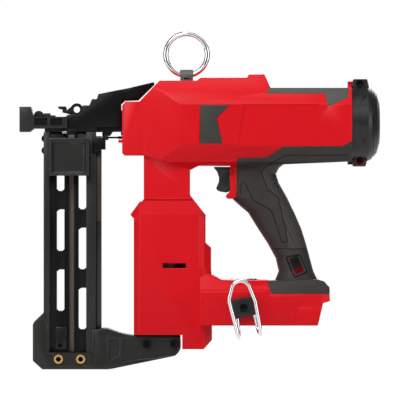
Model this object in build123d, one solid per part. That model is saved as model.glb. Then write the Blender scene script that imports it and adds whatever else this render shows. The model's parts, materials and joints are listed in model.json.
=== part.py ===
"""Cordless fencing stapler, in millimetres.

The frame: X runs from the nose back to the rear cap, Z is up, -Y is the near side. The origin is
on the firing axis, at the front face of the contact foot.
"""

from build123d import *
import math
import os

os.makedirs("parts", exist_ok=True)

# Fits
fit = 0.05
running = 0.25
seat = 0.3

# Walls of the plastic housing
wall = 3.0
overmould = 2.5

# Barrel
barrel_front = 102.5
barrel_rear = 331.0
barrel_top = 34.5
barrel_half = 39.0
collar_half = 25.0

# Staple and driver
staple_width = 11.0
blade_thick = 4.0
blade_width = 11.0
pin_count = 11
pin_step = 30.0
pin_circle = 15.0
pin_radius = 1.75
lifter_x = 147.0

# Cylinder
bore_radius = 25.0
tube_wall = 3.5
tube_front = 178.0
tube_rear = barrel_rear - 13
piston_length = 18.0

# Magazine
mag_front = 24.0
mag_rear = 76.0
mag_top = -9.2
mag_half = 13.0
front_rail = 6.0
rear_rail = 9.3
side_web = 2.5
strip_thick = 5.6
slot_width = 7.7
slot_length = 41.5
slot_pitch = 60.0
guide_slot = 4.5
pusher_travel = 150.0

# Foot bracket under the magazine
bracket_half = 16.5
bracket_floor = -245.8
bracket_seat = -229.2

# Motor tower
tower_near = -24.0
tower_far = 49.0

# Gears
gear_module = 0.8
sun_teeth = 12
planet_teeth = 24
ring_teeth = 60
planet_count = 3
gear_width = 11.0
gear_play = 0.16

# Handle
grip_half = 17.0

# Battery foot
foot_half = 38.0
foot_floor = -201.7
foot_top = -161.6

# Ring
ring_radius = 20.75
ring_wire = 2.6
ring_x = 166.6
ring_z = 68.4

# Belt hook
hook_wire = 1.9

# Contact foot
contact_travel = 8.0

# Worked out from the sizes above
pitch = math.radians(pin_step) * pin_circle
stroke = pitch * (pin_count - 1)
notch_line = blade_width / 2 - 2.0
lifter_y = notch_line + pin_circle
half_thick = blade_thick / 2
tube_outer = bore_radius + tube_wall


def block(x0, x1, y0, y1, z0, z1):
    """Box between two corners."""
    centre = Pos((x0 + x1) / 2, (y0 + y1) / 2, (z0 + z1) / 2)
    return centre * Box(abs(x1 - x0), abs(y1 - y0), abs(z1 - z0))


def rod(radius, start, end):
    """Round bar from one point to another."""
    length = (Vector(end) - Vector(start)).length
    plane = Plane(origin=start, z_dir=Vector(end) - Vector(start))
    return extrude(plane * Circle(radius), amount=length)


def tube(outer, inner, start, end):
    """Round tube from one point to another."""
    return rod(outer, start, end) - rod(inner, start, end)


def drawn_in(points, inset):
    """Corners of the outline with every side moved inwards, without the sides that vanish."""
    closed = list(zip(points, points[1:] + points[:1]))
    turn = math.copysign(1, sum(a[0] * b[1] - b[0] * a[1] for a, b in closed))
    sides = []
    for a, b in closed:
        length = math.dist(a, b)
        ux, uy = (b[0] - a[0]) / length, (b[1] - a[1]) / length
        sides.append((a[0] - turn * uy * inset, a[1] + turn * ux * inset, ux, uy))
    while True:
        corners = []
        for (ax, ay, ux, uy), (bx, by, vx, vy) in zip(sides[-1:] + sides[:-1], sides):
            step = ((bx - ax) * vy - (by - ay) * vx) / (ux * vy - uy * vx)
            corners.append((ax + step * ux, ay + step * uy))
        lengths = [
            (q[0] - p[0]) * side[2] + (q[1] - p[1]) * side[3]
            for p, q, side in zip(corners, corners[1:] + corners[:1], sides)
        ]
        if min(lengths) > 0:
            return corners
        sides.pop(lengths.index(min(lengths)))


def outline(points, inset=0.0):
    """Closed face through the points, drawn in by the inset."""
    corners = drawn_in(points, inset) if inset else points
    return make_face(Polyline(*corners, close=True))


def side_slab(points, y0, y1, inset=0.0):
    """Side view outline of (x, z) points, solid from y0 to y1."""
    plane = Plane(origin=(0, y1, 0), x_dir=(1, 0, 0), z_dir=(0, -1, 0))
    return extrude(plane * outline(points, inset), amount=y1 - y0, dir=(0, -1, 0))


def top_slab(points, z0, z1, inset=0.0):
    """Top view outline of (x, y) points, solid from z0 to z1."""
    return extrude(Pos(0, 0, z0) * outline(points, inset), amount=z1 - z0, dir=(0, 0, 1))


def front_slab(points, x0, x1, inset=0.0):
    """Front view outline of (y, z) points, solid from x0 to x1."""
    plane = Plane(origin=(x0, 0, 0), x_dir=(0, 1, 0), z_dir=(1, 0, 0))
    return extrude(plane * outline(points, inset), amount=x1 - x0, dir=(1, 0, 0))


def joined(shapes):
    """One shape from several."""
    shapes = list(shapes)
    return shapes[0] if len(shapes) == 1 else shapes[0] + shapes[1:]


def save(name, shape):
    """Write a node."""
    export_step(shape, f"parts/{name}.step")


def group(name, solids):
    """Write a node of several solids."""
    export_step(Compound(children=list(solids)), f"parts/{name}.step")


# Envelope of the housing

barrel_side = [
    (barrel_front, 17), (105.8, 20.9), (119.8, 20.9), (139.7, 41.8), (176.9, 41.8),
    (180.5, 44.8), (226.9, 44.8), (228.5, 48.0), (244.2, 48.3), (250.1, barrel_top),
    (barrel_rear, barrel_top), (barrel_rear, -38.4), (266, -41.2), (240, -43),
    (178.5, -42.9), (170.3, -47), (124.5, -32.6), (104.5, -32.6), (barrel_front, -30.5),
]
barrel_section = [
    (-20, 49), (20, 49), (33, 31), (barrel_half, 18), (barrel_half, -22), (31, -39), (19, -47.5),
    (-19, -47.5), (-31, -39), (-barrel_half, -22), (-barrel_half, 18), (-33, 31),
]
barrel_plan = [
    (barrel_front, -collar_half), (124, -collar_half - 2), (163.7, -barrel_half - 1),
    (barrel_rear, -barrel_half - 1), (barrel_rear, barrel_half + 1), (163.7, barrel_half + 1),
    (124, collar_half + 2), (barrel_front, collar_half),
]


def barrel(inset):
    """Barrel, cut by its outlines in three views."""
    shape = side_slab(barrel_side, -60, 60, inset)
    shape &= front_slab(barrel_section, 90, 350, inset)
    return shape & top_slab(barrel_plan, -60, 60, inset)


neck_side = [
    (124, 16), (170, 16), (170, -72), (185.6, -91.8), (185.6, -100), (114, -100), (114, -95),
    (124.4, -78), (124, -74),
]
tower_side = [
    (124, -76), (114, -88), (114, -211.4), (162.3, -211.4), (162.3, -225.5), (183.7, -225.5),
    (192, -216.4), (192, -155), (191.1, -145.4), (191.1, -124.6), (185.6, -119.9),
    (185.6, -91.8), (170, -74),
]


def neck(inset):
    """Neck between barrel and motor tower, wide enough for the lifter wheel."""
    shape = side_slab(neck_side, -22, 44, inset)
    section = [(-22, -101), (-22, -20), (-18, 17), (36, 17), (44, 6), (44, -101)]
    return shape & front_slab(section, 100, 200, inset)


def tower(inset):
    """Motor tower with cut corners."""
    shape = side_slab(tower_side, tower_near, tower_far, inset)
    corner = 6.0
    plan = [
        (114, tower_near + corner), (114 + corner, tower_near), (184, tower_near),
        (192, tower_near + corner + 2), (192, tower_far - corner - 2), (184, tower_far),
        (114 + corner, tower_far), (114, tower_far - corner),
    ]
    return shape & top_slab(plan, -240, -60, inset)


foot_side = [
    (180, -148), (193.7, -152.1), (200.4, -155.8), (217.9, foot_top), (240.3, foot_top),
    (249, -157.5), (296.8, -156.1), (303.8, -158.2), (308.9, -164), (308.9, -177.5),
    (302.2, -179.3), (297, foot_floor), (180, foot_floor),
]
foot_section = [
    (-foot_half, foot_floor), (-foot_half, -178), (-foot_half + 8, -166), (-20, -145),
    (20, -145), (foot_half - 8, -166), (foot_half, -178), (foot_half, foot_floor),
]


def foot(inset):
    """Battery foot."""
    shape = side_slab(foot_side, -50, 50, inset)
    return shape & front_slab(foot_section, 170, 320, inset)


# Each row: height, front, rear and half width of one level of the handle.
handle_levels = [
    (-38, 210, 268, grip_half + 1), (-45, 209.5, 259, grip_half + 0.5),
    (-51, 209.5, 255.9, grip_half), (-60, 209.5, 258.8, grip_half),
    (-75, 211.4, 267.3, grip_half), (-82, 219, 270.5, grip_half),
    (-90, 228.3, 274.5, grip_half), (-105, 237.6, 281, grip_half),
    (-120, 247.4, 285.8, grip_half + 0.5), (-135, 255.6, 289.7, grip_half + 1),
    (-148, 258.6, 293.3, grip_half + 2), (-156.5, 255.2, 297.5, grip_half + 4),
    (-164, 249, 307, grip_half + 7),
]


def handle(inset):
    """Handle, ruled through level ovals."""
    rings = []
    for height, front, rear, half in handle_levels:
        oval = Ellipse((rear - front) / 2 - inset, half - inset)
        rings.append(Pos((front + rear) / 2, 0, height) * oval)
    return loft(rings, ruled=True)


def envelope(inset):
    """Whole housing, drawn in by the inset on every side."""
    return barrel(inset) + [neck(inset), tower(inset), foot(inset), handle(inset)]


# Side view outline of the part of the housing that the dark overmould covers
overmould_area = [
    (barrel_rear + 1, -17), (321.7, -23.5), (263.1, -24), (245.8, -34.9), (218, -35.4),
    (216.5, -37), (216.5, -68), (208, -73), (200, -80), (247.5, -148), (247.5, -158),
    (249, -165), (251.8, -170.2), (312, -170.2), (312, -150), (barrel_rear + 1, -100),
]

outer = envelope(0)
core = barrel(overmould) + handle(overmould) + foot(overmould)
area = side_slab(overmould_area, -60, 60)
overmould_skin = (outer & area) - core
body = outer - overmould_skin

# Cavities, with a wall kept all round
hollow = envelope(wall)
handle_room = handle(overmould + wall - 0.5)
rear_room = barrel(overmould + wall - 0.5)
foot_room = foot(overmould + wall - 0.5)
inside = (hollow - area) + ((rear_room + handle_room + foot_room) & area)
shell = body - inside

# Openings of the housing
mouth_radius = 30.5
rear_mouth = rod(mouth_radius, (barrel_rear - 12, 0, -0.5), (barrel_rear + 5, 0, -0.5))
front_mouth = block(barrel_front - 5, barrel_front + 8, -12.6, 18, -17.5, 14.6)
trigger_slot = block(190, 222, -7, 7, -78, -42.5)
vent_slot = block(143, 166, tower_near - 5, tower_near + 8, -144.7, -140)
far_vents = [
    block(132 + 8 * k, 136 + 8 * k, tower_far - 8, tower_far + 5, -205, -190) for k in range(6)
]
shell -= [rear_mouth, front_mouth, trigger_slot, vent_slot] + far_vents

# Slide way for the battery in the underside of the foot
rail_gap = 26.0
rail_room = 31.0
rail_lip = 4.5
rail_ceiling = -189.0
rail_start = 212.0
ceiling = block(rail_start - 3, 299, -rail_room - 3, rail_room + 3, rail_ceiling, rail_ceiling + 3)
cheeks = [
    block(rail_start - 3, 298, side * rail_room, side * (foot_half - 1), foot_floor, rail_ceiling)
    for side in (-1, 1)
]
front_wall = block(rail_start - 3, rail_start, -rail_room - 3, rail_room + 3, foot_floor, rail_ceiling)
rail_way = block(rail_start, 320, -rail_room, rail_room, foot_floor + rail_lip, rail_ceiling)
rail_mouth = block(rail_start, 320, -rail_gap, rail_gap, foot_floor - 5, foot_floor + rail_lip + 1)
inner_floor = joined([ceiling, front_wall] + cheeks) & outer
shell = (shell + inner_floor) - rail_way - rail_mouth

# Screw pillars between the two halves: side view places
pillar_radius = 4.5
screw_radius = 1.8
screw_head = 3.8
screw_seat = 14.0
screw_depth = 14.0
pillars = [
    (115, -25), (186, 38), (236, 41), (186, -36.5), (130, -60), (165, -60), (182, -106),
    (122, -203), (185, -214), (252, -95), (264, -117), (203, -190), (290, -176),
]


pillar_bars = [rod(pillar_radius, (x, -60, z), (x, 60, z)) for x, z in pillars]
pillar_bars = joined(pillar_bars) & body


def screw_hole(x, z):
    """Thread in the near half, clear hole and head well in the far half."""
    thread = rod(screw_radius, (x, -screw_depth, z), (x, 0, z))
    clear = rod(screw_radius + fit, (x, 0, z), (x, screw_seat, z))
    well = rod(screw_head + seat, (x, screw_seat, z), (x, 60, z))
    return [thread, clear, well]


def housing_screw(x, z):
    """Round head screw from the far side."""
    shank = rod(screw_radius, (x, -screw_depth + 1, z), (x, screw_seat, z))
    head = rod(screw_head, (x, screw_seat, z), (x, screw_seat + 3, z))
    socket = rod(screw_head / 2, (x, screw_seat + 1.5, z), (x, screw_seat + 3, z))
    return shank + head - socket


# Ribs that hold the cylinder, the gear case and the motor
case_radius = 26.4
stator_radius = 24.0
cylinder_seat = rod(tube_outer + fit, (tube_front, 0, 0), (tube_rear, 0, 0))
cylinder_ribs = [
    (block(x, x + 3, -60, 60, -60, 60) & barrel(wall - 0.5)) - cylinder_seat for x in (200, 296)
]


def tower_rib(z0, z1, radius):
    """Rib across the tower with a round seat for the drive."""
    plate = block(100, 200, -60, 60, z0, z1) & tower(wall - 0.5)
    return plate - rod(radius + fit, (lifter_x, lifter_y, z0 - 1), (lifter_x, lifter_y, z1 + 1))


tower_ribs = [
    tower_rib(-110, -107, case_radius), tower_rib(-150, -147.5, stator_radius),
    tower_rib(-184, -181, stator_radius),
]
rod_guide = block(124, 127, 8, 20, -31.5, -12.9) - rod(1.25, (120, 13.5, -14.4), (130, 13.5, -14.4))
shell += [pillar_bars, rod_guide] + cylinder_ribs + tower_ribs

# Brass insert seats for the belt hook, on both sides of the foot
hook_x, hook_z = 223.3, -183.7
insert_radius = 3.2
insert_hole = 2.0
insert_length = 8.0
hook_boss = rod(5.5, (hook_x, -60, hook_z), (hook_x, -foot_half + insert_length + 1, hook_z))
shell += (hook_boss & outer)
shell += (mirror(hook_boss, about=Plane.XZ) & outer)
hook_inserts = []
for side in (-1, 1):
    mouth = (hook_x, side * foot_half, hook_z)
    deep = (hook_x, side * (foot_half - insert_length), hook_z)
    shell -= rod(insert_radius, mouth, deep)
    hook_inserts.append(tube(insert_radius, insert_hole, mouth, deep))
screw_holes = [part for x, z in pillars for part in screw_hole(x, z)]
shell -= screw_holes
overmould_skin -= screw_holes

# Bare recessed panel on each side of the barrel
panel_depth = 0.9
panel_points = [(223.8, 18), (297.2, 18), (294.2, 0.1), (253.6, -19.7), (217.7, -20.5)]
for side in (-1, 1):
    inner, far = sorted((side * (barrel_half - panel_depth), side * 60))
    shell -= side_slab(panel_points, inner, far)

# Dark side pads, in shallow seats
pad_points = [(180, 17.3), (209.6, 17.3), (196.3, 4.5), (202.4, -21), (180, -21)]
pad_thick = 2.0
side_pads = []
for side in (-1, 1):
    inner, far = sorted((side * (barrel_half - pad_thick + 0.6), side * (barrel_half + 0.6)))
    pad = side_slab(pad_points, inner, far)
    shell -= pad
    side_pads.append(pad)

# Grey pad on top of the barrel
pad_rear = barrel_rear - 3.4
top_pad_area = [
    (245.2, 28.8), (252, 40), (pad_rear + 2.4, 40), (pad_rear, 24.8), (pad_rear - 19.5, 16.1),
    (pad_rear - 21.6, 17.7), (pad_rear - 23.3, 28.8),
]
top_pad_thick = 2.0
top_pad = (barrel(0) - barrel(top_pad_thick)) & side_slab(top_pad_area, -60, 60)
top_pad &= block(240, pad_rear - 0.1, -60, 60, 0, 60)
shell -= top_pad
lip_points = [
    (-3.4, 30), (-3.4, 36.5), (-2, 38.4), (0, 38.4), (0, 30),
]
rear_lip = Pos(barrel_rear, 0, 0) * side_slab(lip_points, -15, 15)
shell += rear_lip - rod(mouth_radius, (barrel_rear - 11, 0, -0.5), (barrel_rear + 9, 0, -0.5))

# Tongues that the rear cap hooks over
cap_screw_x = barrel_rear + 8.5
cap_top_z, cap_low_z = 39.2, -37.8
tongue_half = 5.0
for z in (cap_top_z, cap_low_z):
    side = math.copysign(1, z)
    tongue = block(barrel_rear - 3.4, cap_screw_x + 4, -tongue_half, tongue_half, side * 33.5, side * 41.5)
    shell += tongue
    overmould_skin -= tongue
    shell -= rod(screw_radius + fit, (cap_screw_x, -20, z), (cap_screw_x, 20, z))

# Well for the lock slider in the near side of the grip
slide_way = Vector(0.38, 0, -0.925)
slider_centre = Vector(276.2, 0, -141.6)
slider_long = 12.0
slider_wide = 9.0
slider_travel = 4.5
slider_floor = -11.0
slider_face = -18.6


def slider_box(long_, wide, y0, y1, shift=0.0):
    """Box along the slide way of the lock slider."""
    centre = slider_centre + slide_way * shift
    plane = Plane(origin=(centre.X, y1, centre.Z), x_dir=(0.38, 0, -0.925), z_dir=(0, -1, 0))
    return extrude(plane * Rectangle(long_, wide), amount=y1 - y0, dir=(0, -1, 0))


window_long = slider_long + slider_travel + 2 * seat
window_wide = slider_wide + 2 * seat
well = slider_box(window_long + 4, window_wide + 4, -17, slider_floor + 2.5)
shell += well & handle(overmould)
window = slider_box(window_long, window_wide, -40, slider_floor)
shell -= window
overmould_skin -= window

# Trigger pivot and keypad seat
pivot_x, pivot_z = 214.0, -48.0
pivot_radius = 1.5
keypad = side_slab([(217.9, -162.4), (219.5, -157.5), (238.7, -156.8), (240.3, -162.4)], -14, 14)
button_room = block(226.6, 237.4, -5.4, 5.4, -162.4, -150)
shell -= block(217.9, 240.3, -14, 14, -162.4, -150)
keypad -= button_room
overmould_skin -= block(217, 241, -14.3, 14.3, -164, -150)

# Screw holes of the ring strap
strap_floor = 41.8
ring_screw_y = 9.5
for y in (-ring_screw_y, ring_screw_y):
    shell -= rod(1.6, (ring_x, y, strap_floor - 7), (ring_x, y, strap_floor + 1))

# Ears on the far half that take the bracket screws
tower_screw_x = (126.9, 154.6)
tower_screw_z = -220.4
ear = block(120, 160.4, bracket_half + fit, 26, -225, -208)
shell += ear
for x in tower_screw_x:
    shell -= rod(screw_radius, (x, 10, tower_screw_z), (x, 25, tower_screw_z))

# Small forms on the outside: tab on the tower's shoulder, nub on the collar, trigger guards
shell += side_slab([(120.1, -78.2), (124.4, -79.8), (113.4, -95.2), (110.4, -91.6)], -10, 10)
shell += block(barrel_front - 3.9, barrel_front + 1, -20, -15, -20, -17)
guard_side = [
    (210, -43), (216.5, -43), (216.5, -74), (211, -76), (207, -75.6), (205.7, -73.3), (207, -71),
    (209, -69.5), (210.5, -66), (209.5, -55),
]
for y0, y1 in ((-10.5, -7.2), (7.2, 10.5)):
    guard = side_slab(guard_side, y0, y1)
    shell += guard
    overmould_skin -= guard
shell -= rod(pivot_radius, (pivot_x, -10, pivot_z), (pivot_x, 10, pivot_z))

near_space = block(-20, 400, -90, 0, -260, 90)
far_space = block(-20, 400, 0, 90, -260, 90)
save("housing_near", shell & near_space)
save("housing_far", shell & far_space)
save("grip_near", overmould_skin & near_space)
save("grip_far", overmould_skin & far_space)
save("top_pad", top_pad)
group("side_pads", side_pads)

# Rear cap, its screws and the lugs that hook over the housing
cap_z = -0.5
cap_profile = [
    (0, 34.4), (0, 37.5), (16.5, 37.5), (20, 35.8), (25.4, 29.6), (28.2, 20), (28.9, 0), (25.9, 0),
    (25.2, 19), (22.9, 27.6), (18, 33), (15, 34.4),
]
cap_plane = Plane(origin=(barrel_rear, 0, cap_z), x_dir=(1, 0, 0), z_dir=(0, -1, 0))
rear_cap = revolve(cap_plane * outline(cap_profile), Axis((0, 0, cap_z), (1, 0, 0)), 360)
lug_half = 11.0
top_lug = [(0.4, 35.5), (2.1, 43.6), (15.8, 43.6), (17.8, 35.5)]
low_lug = [(0.4, -36), (1.8, -43.5), (14.2, -43.5), (16, -36)]
for points, z in ((top_lug, cap_top_z), (low_lug, cap_low_z)):
    side = math.copysign(1, z)
    rear_cap += Pos(barrel_rear, 0, 0) * side_slab(points, -lug_half, lug_half)
    room = tongue_half + fit
    rear_cap -= block(barrel_rear - 11, cap_screw_x + 4 + seat, -room, room, side * 33, side * (41.5 + fit))
    rear_cap -= rod(screw_radius + fit, (cap_screw_x, -20, z), (cap_screw_x, 20, z))
    rear_cap -= rod(screw_head + fit, (cap_screw_x, -20, z), (cap_screw_x, -lug_half + 2.4, z))
save("rear_cap", rear_cap)


def cross_screw(x, z, head_y, end_y, shank=screw_radius, head=screw_head, high=2.2):
    """Pan head screw along Y with its head on the near side."""
    bolt = rod(shank, (x, end_y, z), (x, head_y, z)) + rod(head, (x, head_y, z), (x, head_y - high, z))
    return bolt - rod(head * 0.45, (x, head_y - high, z), (x, head_y - high / 2, z))


cap_screws = [cross_screw(cap_screw_x, z, -lug_half + 2.4, lug_half) for z in (cap_top_z, cap_low_z)]

# Nose block with its sloping top arm
nose_half = 12.0
nose_floor = mag_top
channel_half = staple_width / 2 + seat
channel_high = half_thick + seat
frame_half = 9.0
frame_high = 12.5
frame_front = 106.0
nose_side = [
    (25, nose_floor), (25, 5.5), (45, 5.5), (48, 8), (61, 9.5), (63, 17.4), (69.5, 17.4),
    (72.2, 23.7), (77, 23.7), (78.5, 28.7), (101.2, 33.3), (101.2, -8.9), (92.9, -8.9),
    (89.8, -13.1), (84, -13.1), (84, nose_floor),
]
arm_side = [
    (100, 10), (100, 33), (110, 35), (134.1, 40.8), (134.5, 38.4), (118.4, 22.6), (105, 22.1),
    (101.2, 18.6), (101.2, 10),
]
nose_block = side_slab(nose_side, -nose_half, nose_half) + side_slab(arm_side, -10, 10)
nose_block += block(101, frame_front, -frame_half, frame_half, -frame_high, frame_high)
nose_block -= block(24, 110, -channel_half, channel_half, -channel_high, channel_high)
nose_block -= block(30, 76.2, -channel_half, channel_half, nose_floor - 1, 0)
nose_block += block(47, 56.5, -13.2, -11.9, -14.5, -6.2)
nose_block -= block(77, 101.3, -nose_half - 1, -frame_half, -12, -4.3)
nose_block -= block(77, 101.3, frame_half, nose_half + 1, -12, -4.3)
latch_half = 2.5
latch_pin_x, latch_pin_z = 66.5, 12.0
nose_block -= block(44, 69.6, -latch_half - running, latch_half + running, 6.2, 30)
nose_block -= rod(1.5, (latch_pin_x, -9, latch_pin_z), (latch_pin_x, 9, latch_pin_z))

# Jam latch lever with its eye
latch_side = [
    (latch_pin_x + 2.6, 9.2), (latch_pin_x + 2.6, 13.5), (61.5, 17), (58, 19), (54, 18.5), (50, 15.2),
    (46.5, 12.6), (47, 14.2), (46, 16.6), (38.2, 16.6), (38.2, 14.4), (42.5, 13.2), (42.5, 10.4),
    (50, 8.6),
]
eye_x, eye_z = 56.9, 13.4
eye_outer, eye_hole = 6.3, 3.2
slot_half = latch_half + running
nose_latch = side_slab(latch_side, -latch_half, latch_half)
nose_latch += rod(eye_outer, (eye_x, -latch_half, eye_z), (eye_x, latch_half, eye_z))
nose_latch -= rod(eye_hole, (eye_x, -10, eye_z), (eye_x, 10, eye_z))
nose_latch -= rod(1.5 + fit, (latch_pin_x, -10, latch_pin_z), (latch_pin_x, 10, latch_pin_z))
nose_block -= rod(eye_outer + 0.55, (eye_x, -slot_half, eye_z), (eye_x, slot_half, eye_z))
save("nose_latch", nose_latch)
latch_pin = rod(1.5, (latch_pin_x, -9, latch_pin_z), (latch_pin_x, 9, latch_pin_z))

# Contact foot, its arms along the nose and the rod back into the housing
foot_high, foot_low = 16.0, -9.0
contact_half = 16.0
arm_inner = nose_half + running
arm_outer = 15.5
contact_side = [
    (0, foot_high), (11.4, foot_high), (12.2, 12), (13.5, 7.6), (35.6, 7.6), (35.6, 5.8), (13.8, 5.8),
    (14.1, -5.8), (10.3, foot_low), (0, foot_low),
]
contact_foot = side_slab(contact_side[:4] + contact_side[6:], -contact_half, contact_half)
contact_foot += block(12, 35.6, -6, 6, 5.8, 7.6)
contact_foot += rod(5.1, (19, -6, 7.0), (19, 6, 7.0)) & block(10, 30, -10, 10, 5.8, 20)
contact_foot += block(24.1, 30.6, -6, 6, 7, 9.7)
contact_foot -= block(-1, 15, -6.2, 6.2, -2.8, 2.8)
wire_notch = 4.4
contact_foot -= block(-1, 3.0, -wire_notch / 2, wire_notch / 2, foot_low - 1, foot_high + 1)
window_depth = 1.4
for side in (-1, 1):
    y0, y1 = sorted((side * arm_inner, side * arm_outer))
    contact_foot += block(12, 47.4, y0, y1, -5.6, 6)
    deep = sorted((side * (arm_outer - window_depth), side * (arm_outer + 1)))
    for x0, x1 in ((14.9, 27.5), (31, 42.5)):
        contact_foot -= block(x0, x1, deep[0], deep[1], -2.6, 4.5)

rod_y, rod_z = 13.5, -14.4
rod_radius = 0.95
rod_end = 126.0
contact_link = block(47.4, 88, arm_inner, arm_outer - 0.5, -3, 3)
contact_link += block(82, 88, arm_inner, arm_outer - 0.5, -17, 3)
rod_flange = 110.0
contact_rod = rod(rod_radius, (88, rod_y, rod_z), (rod_end, rod_y, rod_z))
contact_rod += rod(1.5, (98, rod_y, rod_z), (102, rod_y, rod_z))
contact_rod += rod(3.0, (rod_flange - 1, rod_y, rod_z), (rod_flange, rod_y, rod_z))
save("contact_foot", contact_foot + contact_link)
save("contact_rod", contact_rod)


def spring(radius, wire, start, end, turns):
    """Coil spring from start to end, in one unbroken wire."""
    axis = Vector(end) - Vector(start)
    plane = Plane(origin=start, z_dir=axis)
    coil = Helix(pitch=(axis.length - 2 * wire) / turns, height=axis.length - 2 * wire, radius=radius)
    coil = plane * Pos(0, 0, wire) * coil
    section = Plane(origin=coil @ 0, z_dir=coil % 0) * Circle(wire)
    return sweep(section, path=coil)


save("contact_spring", spring(2.3, 0.4, (rod_flange + 0.1, rod_y, rod_z), (123.9, rod_y, rod_z), 7))
contact_switch = block(rod_end + contact_travel + 0.4, 139.5, 9, 18, -21, -12.9)

# Clamp under the nose that holds the magazine's rear rail
clamp_outer = 15.5
clamp_side = [
    (72.2, -15), (72.2, -29.7), (77.6, -29.7), (81.8, -26.5), (85.6, -26.7), (85.6, -15),
]
magazine_clamp = side_slab(clamp_side, -clamp_outer, -mag_half - 0.2)
magazine_clamp += block(82.3, 85.6, -clamp_outer, 8, -26.7, -13.1)
nose_block += magazine_clamp
save("nose_block", nose_block)

# Magazine: slotted sides with rails, front rail, rear strip and core
mag_low = bracket_seat
web_outer = channel_half + side_web
web_front = mag_front + front_rail
web_rear = mag_rear - rear_rail
slot_left = 40.7
slot_right = 62.5
left_top = -26.4
right_top = -44.7


def slot_cut(x, top):
    """See-through slot with cut corners."""
    x0, x1 = x - slot_width / 2, x + slot_width / 2
    low = top - slot_length
    points = [
        (x0, low + 2), (x0 + 2, low), (x1 - 2, low), (x1, low + 2), (x1, top), (x0 + 3, top), (x0, top - 2),
    ]
    return side_slab(points, -40, 40)


slots = [slot_cut(slot_left, left_top - slot_pitch * k) for k in range(3)]
slots += [slot_cut(slot_right, right_top - slot_pitch * k) for k in range(3)]
guide_x = 51.75


def magazine_side(side):
    """Side of the magazine: front rail, slotted web and rear rail."""
    inner, web_face, rail = side * channel_half, side * web_outer, side * mag_half
    web = block(mag_front, mag_rear, inner, web_face, mag_low, mag_top)
    front = block(mag_front, web_front, inner, rail, mag_low, mag_top)
    rear = block(web_rear, mag_rear, inner, rail, mag_low, mag_top)
    return (web + front + rear) - slots


near_side = magazine_side(-1)
near_side -= block(guide_x - guide_slot / 2, guide_x + guide_slot / 2, -20, 0, mag_low + 1.2, mag_top + 1)
save("magazine_side_near", near_side)
save("magazine_side_far", magazine_side(1))
dome_radius, dome_high = 3.8, 2.6
ball_radius = (dome_radius**2 + dome_high**2) / (2 * dome_high)
dome_z = (-15.6, -27.5)
front_spine = block(mag_front, web_front, -channel_half, channel_half, mag_low, mag_top)
rail_screws = []
for z in dome_z:
    hole = rod(1.75, (mag_front, 0, z), (web_front - 1, 0, z))
    front_spine -= hole
    ball = Pos(mag_front - dome_high + ball_radius, 0, z) * Sphere(ball_radius)
    dome = ball & rod(dome_radius, (mag_front - dome_high - 1, 0, z), (mag_front, 0, z))
    rail_screws.append(dome + hole)
save("magazine_front_rail", front_spine)
strip_top = -29.9
save("rear_strip", block(mag_rear, mag_rear + strip_thick, -7, 7, -206, nose_floor - 4))
core_half = 1.6
core_front, core_rear = 34.0, 70.0
core_rail = block(core_front, core_rear, -core_half, core_half, mag_low, -channel_high)
save("core_rail", core_rail - slots)

# Pusher: handle block outside, neck through the guide slot, fork round the core
pusher_top, pusher_low = -15.3, -52.8
pusher_front, pusher_rear = 29.7, 69.5
pusher_face = -26.0
block_inner = -mag_half - running
neck_half = guide_slot / 2 - running
pusher = block(pusher_front, pusher_rear, pusher_face, block_inner, pusher_low, pusher_top)
pusher -= side_slab([(32, -19), (67, -19), (67, -51), (32, -51)], pusher_face - 1, pusher_face + 1.6)
pad_face = -web_outer - running
pusher += block(web_front + running, web_rear - running, block_inner, pad_face, pusher_low, pusher_top)
pusher += block(guide_x - neck_half, guide_x + neck_half, -web_outer - 1, -core_half - running, -40, -17)
for side in (-1, 1):
    y0, y1 = sorted((side * (core_half + running), side * (channel_half - running)))
    pusher += block(web_front + 0.5, core_rear + 4, y0, y1, -40, -17)
pusher += block(core_rear + 0.5, core_rear + 4, -channel_half + running, channel_half - running, -40, -17)
coil_radius = 5.0
coil_x, coil_y, coil_z = 51.75, -18.2, -32.0
coil_width = 6.0
pusher -= block(coil_x - 3.4, coil_x + 3.4, coil_y - 5.4, block_inner + 1, coil_z - 5.4, coil_z + 5.4)
pusher -= block(coil_x - 3.4, coil_x + 3.4, -13.9, block_inner + 1, coil_z, pusher_top + 1)
pusher += rod(1.95, (coil_x - 3.5, coil_y, coil_z), (coil_x + 3.5, coil_y, coil_z))
save("pusher", pusher)
save("pusher_coil", tube(coil_radius, 2.0, (coil_x - 3, coil_y, coil_z), (coil_x + 3, coil_y, coil_z)))
band_y = coil_y + coil_radius
save("pusher_band", block(coil_x - 3, coil_x + 3, band_y - 0.3, band_y, -12.0, -27.0))

# Foot bracket under the magazine and the tower
bracket_side = [
    (23.9, -189.3), (15, -198), (13.3, -201), (13.3, -237.3), (22.8, bracket_floor), (88.3, bracket_floor),
    (92.8, -245.2), (154.6, -232.5), (158.4, -229.5), (160.7, -224.8), (160.7, -217), (159.6, -214.2),
    (157, -212.6), (113.2, -212.1), (101, -209.5), (88.3, -204.9), (83.8, -204.7), (76.5, -206.3),
    (30, -206.3),
]
magazine_foot = side_slab(bracket_side, -bracket_half, bracket_half)
socket_half = mag_half + fit
socket_rear = mag_rear + strip_thick + fit
magazine_foot -= block(mag_front - fit, socket_rear, -socket_half, socket_half, mag_low, -180)
magazine_foot -= block(28, 72.2, -30, -mag_half + 3, bracket_seat, -180)
magazine_foot -= block(28, 72.2, mag_half - 3, 30, bracket_seat, -180)
magazine_foot -= block(34.3, 73.3, -30, -bracket_half + 2, -242, -229.2)
for x0, x1 in ((89, 99.5), (102.5, 157)):
    pocket = side_slab([(x0, -216), (x1, -216), (x1, -231), (x0, -238)], -30, 30)
    magazine_foot -= pocket - block(x0, x1, 2 - bracket_half, bracket_half - 2, -240, -210)
insert_x = (38.9, 61.0)
insert_z = -235.7
foot_inserts = []
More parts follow.
